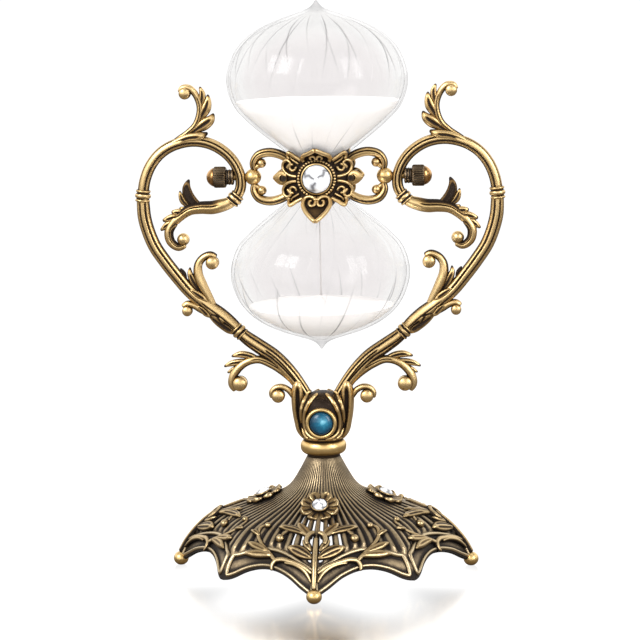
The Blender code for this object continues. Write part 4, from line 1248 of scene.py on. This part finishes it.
def heap(rows, name, node, rng):
    """Sand from rows of (radius, height, roughness), a little darker in its thread, with painted shade on the
    dimple and the mound in its middle.
    """
    sides = 72
    turn = even_turns(sides)
    radius, height = rows[:, 0], rows[:, 1]
    grains = rng.standard_normal((len(rows), sides))
    rough = rows[:, 2:] * (0.25 * np.sin(3 * turn + 1) + 0.18 * np.sin(7 * turn) + 0.12 * grains)
    verts = around(rows[:, :1], turn, rows[:, 1:2] + rough).reshape(-1, 3)
    thread = (radius < THREAD_R) & (height > SAND_LOWER_TOP) & (height < 1)
    mound = np.abs(height - SAND_LOWER_TOP - 3) < 2.6
    dimple = np.abs(height - SAND_UPPER_TOP + 2.5) < 2
    # The dimple and the mound get painted shade.
    shade = np.repeat(thread + 0.3 * ((radius > THREAD_R) & (mound | dimple)) * bell(radius / 9), sides)
    piece = Shape().add((verts, outward(verts, tube(len(rows), sides)), shade), move=AT_PIVOT)
    piece.make(name, SAND, "cradle", node)


def sands():
    rng = np.random.default_rng(7)
    gap = 0.25
    wall = inner_wall()
    inside = wall[:-1]
    fit = inside[inside[:, 1] <= SAND_UPPER_TOP] - (gap, 0)
    edge = float(np.interp(SAND_UPPER_TOP, inside[:, 1], inside[:, 0])) - gap
    upper = [(max(r, THREAD_R), h, 0) for r, h in fit if h > 1.0] + [(edge, SAND_UPPER_TOP, 0)]
    for k in np.linspace(0.97, 0.02, 22):
        upper.append((edge * k, SAND_UPPER_TOP - 3.4 * (1 - k) ** 1.2, 1.0 if k > 0.08 else 0.3))
    heap(np.array(upper), "sand_top", "sand_upper", rng)
    lower = [(0.3, -70.2, 0)]
    for depth in np.linspace(69.6, -SAND_LOWER_TOP, 16):
        lower.append((float(np.interp(depth, inside[:, 1], inside[:, 0])) - gap, -depth, 0))
    edge = lower[-1][0]
    for k in np.linspace(0.97, 0.03, 24):
        lower.append((edge * k, SAND_LOWER_TOP + 4.6 * (1 - k) ** 1.6, 1.0))
    lower += [(0.5, SAND_LOWER_TOP + 4.9, 0.2), (0.32, SAND_LOWER_TOP + 9, 0), (0.3, -20, 0), (0.34, 0.9, 0)]
    heap(np.array(lower), "sand_bottom", "sand_lower", rng)


def on_medallion(rows, lift):
    """Places above the medallion's face for rows of (across, up), about the pivot."""
    rows = np.asarray(rows, float)
    x, z = rows[:, 0], rows[:, 1]
    near = np.sqrt(np.maximum((bulb_radius(z) + 0.9) ** 2 - x * x, 0))
    flat = MEDALLION_BACK - 0.022 * x * x
    depth = np.logaddexp(flat * 2, near * 2) / 2
    return np.column_stack([x, -(depth + MEDALLION_THICK + lift), z + PIVOT_Z])


def medallion_wire(rows, wide=0.55, deep=0.7, lift=0.15, sides=14):
    """A wire on the medallion's face; rows may carry their own half-width."""
    place, length = curve([(*row, wide)[:3] for row in rows], 2)
    s, size = stations(length, 0.35, (0.35, 0.35))
    rows = place(s)
    return sweep(on_medallion(rows[:, :2], lift), rows[:, 2] * size, deep * size, FRONT, sides=sides)


# Half of each outline, as (across, up); the other half mirrors it.
FACE_OUTLINE = [
    (0, 13.3), (3.2, 11.6), (6.3, 9.6), (6.4, 8.2), (9.4, 10), (12.6, 11.6), (12.8, 9.4), (14.9, 7.2),
    (15.4, 4.6), (14.2, 2.2), (15.6, 0.2), (14.2, -1.8), (15.4, -4.4), (14.8, -7), (12.7, -9.4),
    (12.4, -11.6), (9.2, -10.2), (6, -8.6), (5.9, -11.2), (3.4, -14.6), (0, -17.6),
]
ROOF = [(5.2, 7.3), (5.9, 8.6), (5.7, 9.8), (3, 11.4), (0, 13)]
HEART = [(0, -9.6), (1.2, -8.3), (3.3, -7.7), (5.3, -8.6), (5.9, -10.6), (4.9, -13), (2.6, -15.4), (0, -17.4)]
HEART_SCROLL = [(0.4, -9.4), (0.9, -11), (2.2, -11.4), (3.2, -10.5), (2.9, -9.5), (2, -9.6)]
ROOF_SCROLL = [(0.3, 8.6), (0.8, 9.9), (1.9, 10.1), (2.6, 9.3), (2.2, 8.6)]
CORNER_UP = [(6.5, 7.9), (9.4, 9.6), (12.3, 11.2), (12.5, 9.6), (11.8, 8.2)]
CORNER_DOWN = [(6, -8.3), (9, -9.8), (12.1, -11.3), (12.5, -9.4), (12, -8)]
SIDE_SCROLL = [
    (8.4, 1), (11.2, 1.3), (13.8, 2.6), (15, 4.8), (14.4, 7.2), (12.7, 7.9), (11.5, 6.6), (12.4, 5.4),
    (13, 4.6),
]
CORNER_FILL = [(7.6, 6.4), (9.2, 7.4), (10.9, 8.6), (11.4, 9.8)]
SIDE_CURL = [(8.8, 5.4), (9.4, 4), (10.8, 3.6), (11.8, 4.6), (11.3, 6), (10, 6.2)]


WIRES = [  # rows of (half a wire, half-width, depth)
    (ROOF, 0.95, 1.2), (HEART, 0.95, 1.3), (HEART_SCROLL, 0.62, 0.9), (ROOF_SCROLL, 0.55, 0.8),
    (CORNER_UP, 0.85, 1.2), (CORNER_DOWN, 0.85, 1.2),
]
# Like WIRES, but with a mirror image below the middle too.
UP_AND_DOWN = [(CORNER_FILL, 0.45, 0.7), (SIDE_SCROLL, 0.72, 1.1), (SIDE_CURL, 0.6, 0.9)]
EAR = [(13, 0, 2.4), (15.4, 0, 3.1), (17.6, 0, 2.5), (19.4, 0, 0.7)]
EYE = [(0.1, 0, 1), (1, 0.1, 1), (1.3, 0.5, 0.6), (1.6, 0.6, 0), (1.9, 0.2, 0), (1.9, -1, 0), (0.1, -1, 1)]
BEADS, BEAD_CIRCLE = 38, 7.9
LIP = MEDALLION_BACK + MEDALLION_THICK
LIP_RING = [
    (5.2, LIP - 1.2, 1), (8.7, LIP - 1.2, 1), (8.8, LIP - 0.2, 0.8), (8.4, LIP, 0.9), (7.2, LIP, 0.9),
    (7, LIP + 0.6, 0.6), (6.8, LIP + 1, 0), (6.4, LIP + 1.1, 0), (6.15, LIP + 0.8, 0.4), (6.05, LIP - 0.4, 1),
]
CUT_GEM = [
    (3, LIP - 0.6), (6.1, LIP + 0.4), (6, LIP + 0.9), (5, LIP + 1.7), (3.4, LIP + 2.3), (1.4, LIP + 2.6),
]


def medallion_plate():
    half = np.array(FACE_OUTLINE)
    outline = np.vstack([half, (half * (-1, 1))[::-1][1:-1]])
    closed = np.vstack([outline, outline[:1]])
    quarters = np.linspace(0, 1, 5)[:-1, None]
    outline = np.vstack([a + (b - a) * quarters for a, b in zip(closed, closed[1:])])
    rings = [outline * k for k in (0.12, 0.4, 0.58, 0.72, 0.84, 0.94, 1)]
    points = np.vstack([on_medallion(ring, -0.5) for ring in rings])
    quads = ring_faces(len(rings), len(outline))
    # The back of the plate gets painted shade.
    return thick(
        points, quads, np.broadcast_to(FRONT, points.shape), METAL_WALL, np.full(len(points), 0.62), 0.6,
    )


def rosette(name, spin):
    """A medallion and its crystal; spin turns them to their face of the waist."""
    face = Shape().add(medallion_plate(), move=spin)
    wires = WIRES + UP_AND_DOWN + [([(x, -z) for x, z in path], *size) for path, *size in UP_AND_DOWN]
    for side in SIDES.values():
        for path, wide, deep in wires:
            face.add(medallion_wire(path, wide, deep), side, spin)
        face.add(medallion_wire(EAR, deep=1.0, lift=-0.1, sides=28), side, spin)
        face.add(lathe(EYE, 24, on_medallion([(15.2, 0)], 0.55)[0], (0, -1, 0), 0.2), side, spin)
    for turn in even_turns(BEADS):
        spot = (BEAD_CIRCLE * math.cos(turn), -(LIP + 0.3), PIVOT_Z + BEAD_CIRCLE * math.sin(turn))
        face.add(ball(spot, 0.6, sides=12), move=spin)
    front = {"centre": (0, 0, PIVOT_Z), "axis": (0, -1, 0)}
    face.add(lathe(LIP_RING, 72, step=0.25, **front), move=spin)
    face.make(f"rosette_{name}", ANTIQUE, "cradle", f"medallion_{name}")
    gem = Shape().add(faceted(CUT_GEM, 12, **front), move=spin)
    gem.make(f"rosette_gem_{name}", CRYSTAL, "cradle", f"medallion_crystal_{name}", smooth=False)


def screw(name):
    """A double-headed screw, as long as the CAD one."""
    low, high = (np.array(corner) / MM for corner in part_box(f"medallion_screw_{name}"))
    shank = [
        (0.2, low[1] + 0.3, 1), (1.25, low[1] + 0.3, 0.6), (1.25, low[1] + 1.2, 0.8), (0.95, low[1] + 1.3, 1),
    ]
    shank += [
        (0.95, high[1] - 1.3, 1), (1.25, high[1] - 1.2, 0.8), (1.25, high[1] - 0.3, 0.6),
        (0.2, high[1] - 0.3, 1),
    ]
    bar = Shape().add(lathe(shank, 24, ((low[0] + high[0]) / 2, 0, PIVOT_Z), (0, 1, 0), sharp=True))
    bar.make(f"rosette_screw_{name}", BRONZE, "cradle", f"medallion_screw_{name}")


def yoke(name, side):
    """The double C-scroll loop, with a ball in each curl and a tongue under the medallion."""
    # A real groove, and painted shade on the loop's edges.
    loop_cut = carve((-0.25, 0.16, 0.16, 0, 1), inner=(0.7, -0.5), outer=(0.25, 0.8))
    upper = [(x, PIVOT_Z + h, r) for x, h, r in LOOP_HALF[::-1]]
    lower = [(x, PIVOT_Z - h, r) for x, h, r in LOOP_HALF[1:]]
    loop = Shape().add(strip(upper + lower, 1.3, loop_cut, 36, 0.4, (0.8, 0.8)), side)
    for up in (-1, 1):
        loop.add(ball((25.2, 0, PIVOT_Z + up * 6), 2.1, 1.2, 24), side)
        end = [(x, PIVOT_Z + up * h, r) for x, h, r in ((28.2, 3.6, 1.1), (27, 4.6, 1.2), (25.6, 5.6, 1.2))]
        loop.add(strip(end, 1.3, plain, 20, 0.4, (0.5, 0.5)), side)
    tongue = [(10.6, PIVOT_Z, 2.4), (14.0, PIVOT_Z, 2.6), (17.2, PIVOT_Z, 2.2)]
    loop.add(strip(tongue, 0.65, plain, 20, 0.5, (0.8, 0.8)), side)
    loop.make(f"yoke_{name}", ANTIQUE, "cradle", f"scroll_loop_{name}")


WASHER = [
    (1.85, 37.6, 1), (3.3, 37.7, 0.4), (3.5, 38.2, 0.1), (3.2, 38.8, 1), (3.5, 39.4, 0.1), (3.2, 40, 1),
    (3.4, 40.5, 0.3), (1.85, 40.6, 1),
]


def pivot(name, side):
    """The pin with its ball, and the spacer washer on it."""
    axis = {"centre": (0, 0, PIVOT_Z), "axis": (side, 0, 0)}
    pin = [(0.2, 25.4, 0.2)]
    pin += [(3.6 * math.sin(a), 29 - 3.6 * math.cos(a), 0) for a in np.radians(np.linspace(8, 150, 14))]
    pin += [(1.5, 32.4, 0.7), (1.5, 34, 0.5), (1.5, 44.5, 0.5)]
    rod = Shape().add(lathe(pin, 40, step=0.35, **axis))
    rod.make(f"pivot_{name}", POLISHED, "cradle", f"pivot_pin_{name}")
    washer = Shape().add(lathe(WASHER, 40, step=0.2, **axis))
    washer.make(f"ribbed_washer_{name}", BRONZE, "cradle", f"spacer_washer_{name}")


TEETH = 30
NUT = [  # rows of (radius, along the pin, share of the knurling)
    (1.85, 41.5, 0), (1.85, 40.9, 0), (4.1, 40.9, 0), (4.6, 41.3, 1), (4.7, 42, 1), (4.7, 45.6, 1),
    (4.55, 46.1, 0.6), (4.2, 46.3, 0), (3.6, 46.5, 0),
]
CROWN = [
    (0.5, 45.9, 0.6), (4, 45.9, 0.6), (4.1, 46.4, 0.4), (3.9, 47.1, 0), (3.3, 48, 0), (2.5, 48.8, 0),
    (1.4, 49.4, 0), (0.1, 49.6, 0),
]


def cap_nut(name, side):
    """A knurled nut and its warmer domed end."""
    axis = {"centre": (0, 0, PIVOT_Z), "axis": (side, 0, 0)}
    radius, along, cut = np.array(NUT).T[..., None]
    tooth = np.array([1.0, 0.975, 0.915, 0.975] * TEETH)
    dark = np.where(along < 46.2, 0.15 + cut * (1 - tooth) * 9, 0.1)
    verts = onto(around(radius * (1 - cut + cut * tooth), even_turns(len(tooth)), along), **axis)
    nut = Shape().add((verts, outward(verts, tube(len(NUT), len(tooth))), dark.reshape(-1)))
    nut.make(f"cap_nut_{name}", BRONZE, f"{name}_nut", f"knurled_nut_{name}")
    crown = Shape().add(lathe(CROWN, 40, step=0.3, **axis))
    crown.make(f"cap_nut_crown_{name}", COPPER, f"{name}_nut", slot="dark_brass")


# --- everything ---

studio()
for arm_name, arm_side in SIDES.items():
    arm(arm_name, arm_side)
neck_ring()
lotus()
stone()
canopy()
filigree()
for quarter, degrees in QUARTERS.items():
    flower(quarter, math.radians(degrees))
    foot(quarter, math.radians(degrees))
vessel()
sands()
rosette("front", Matrix.Identity(4))
rosette("back", Matrix.Rotation(math.pi, 4, "Z"))
for arm_name, arm_side in SIDES.items():
    screw(arm_name)
    yoke(arm_name, arm_side)
    pivot(arm_name, arm_side)
    cap_nut(arm_name, arm_side)
for node, material in {
    "base_bolt": STEEL, "base_washer": STEEL, "waist_clamp_front": BRONZE, "waist_clamp_back": BRONZE,
}.items():
    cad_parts[node].data.materials.clear()
    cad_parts[node].data.materials.append(material)
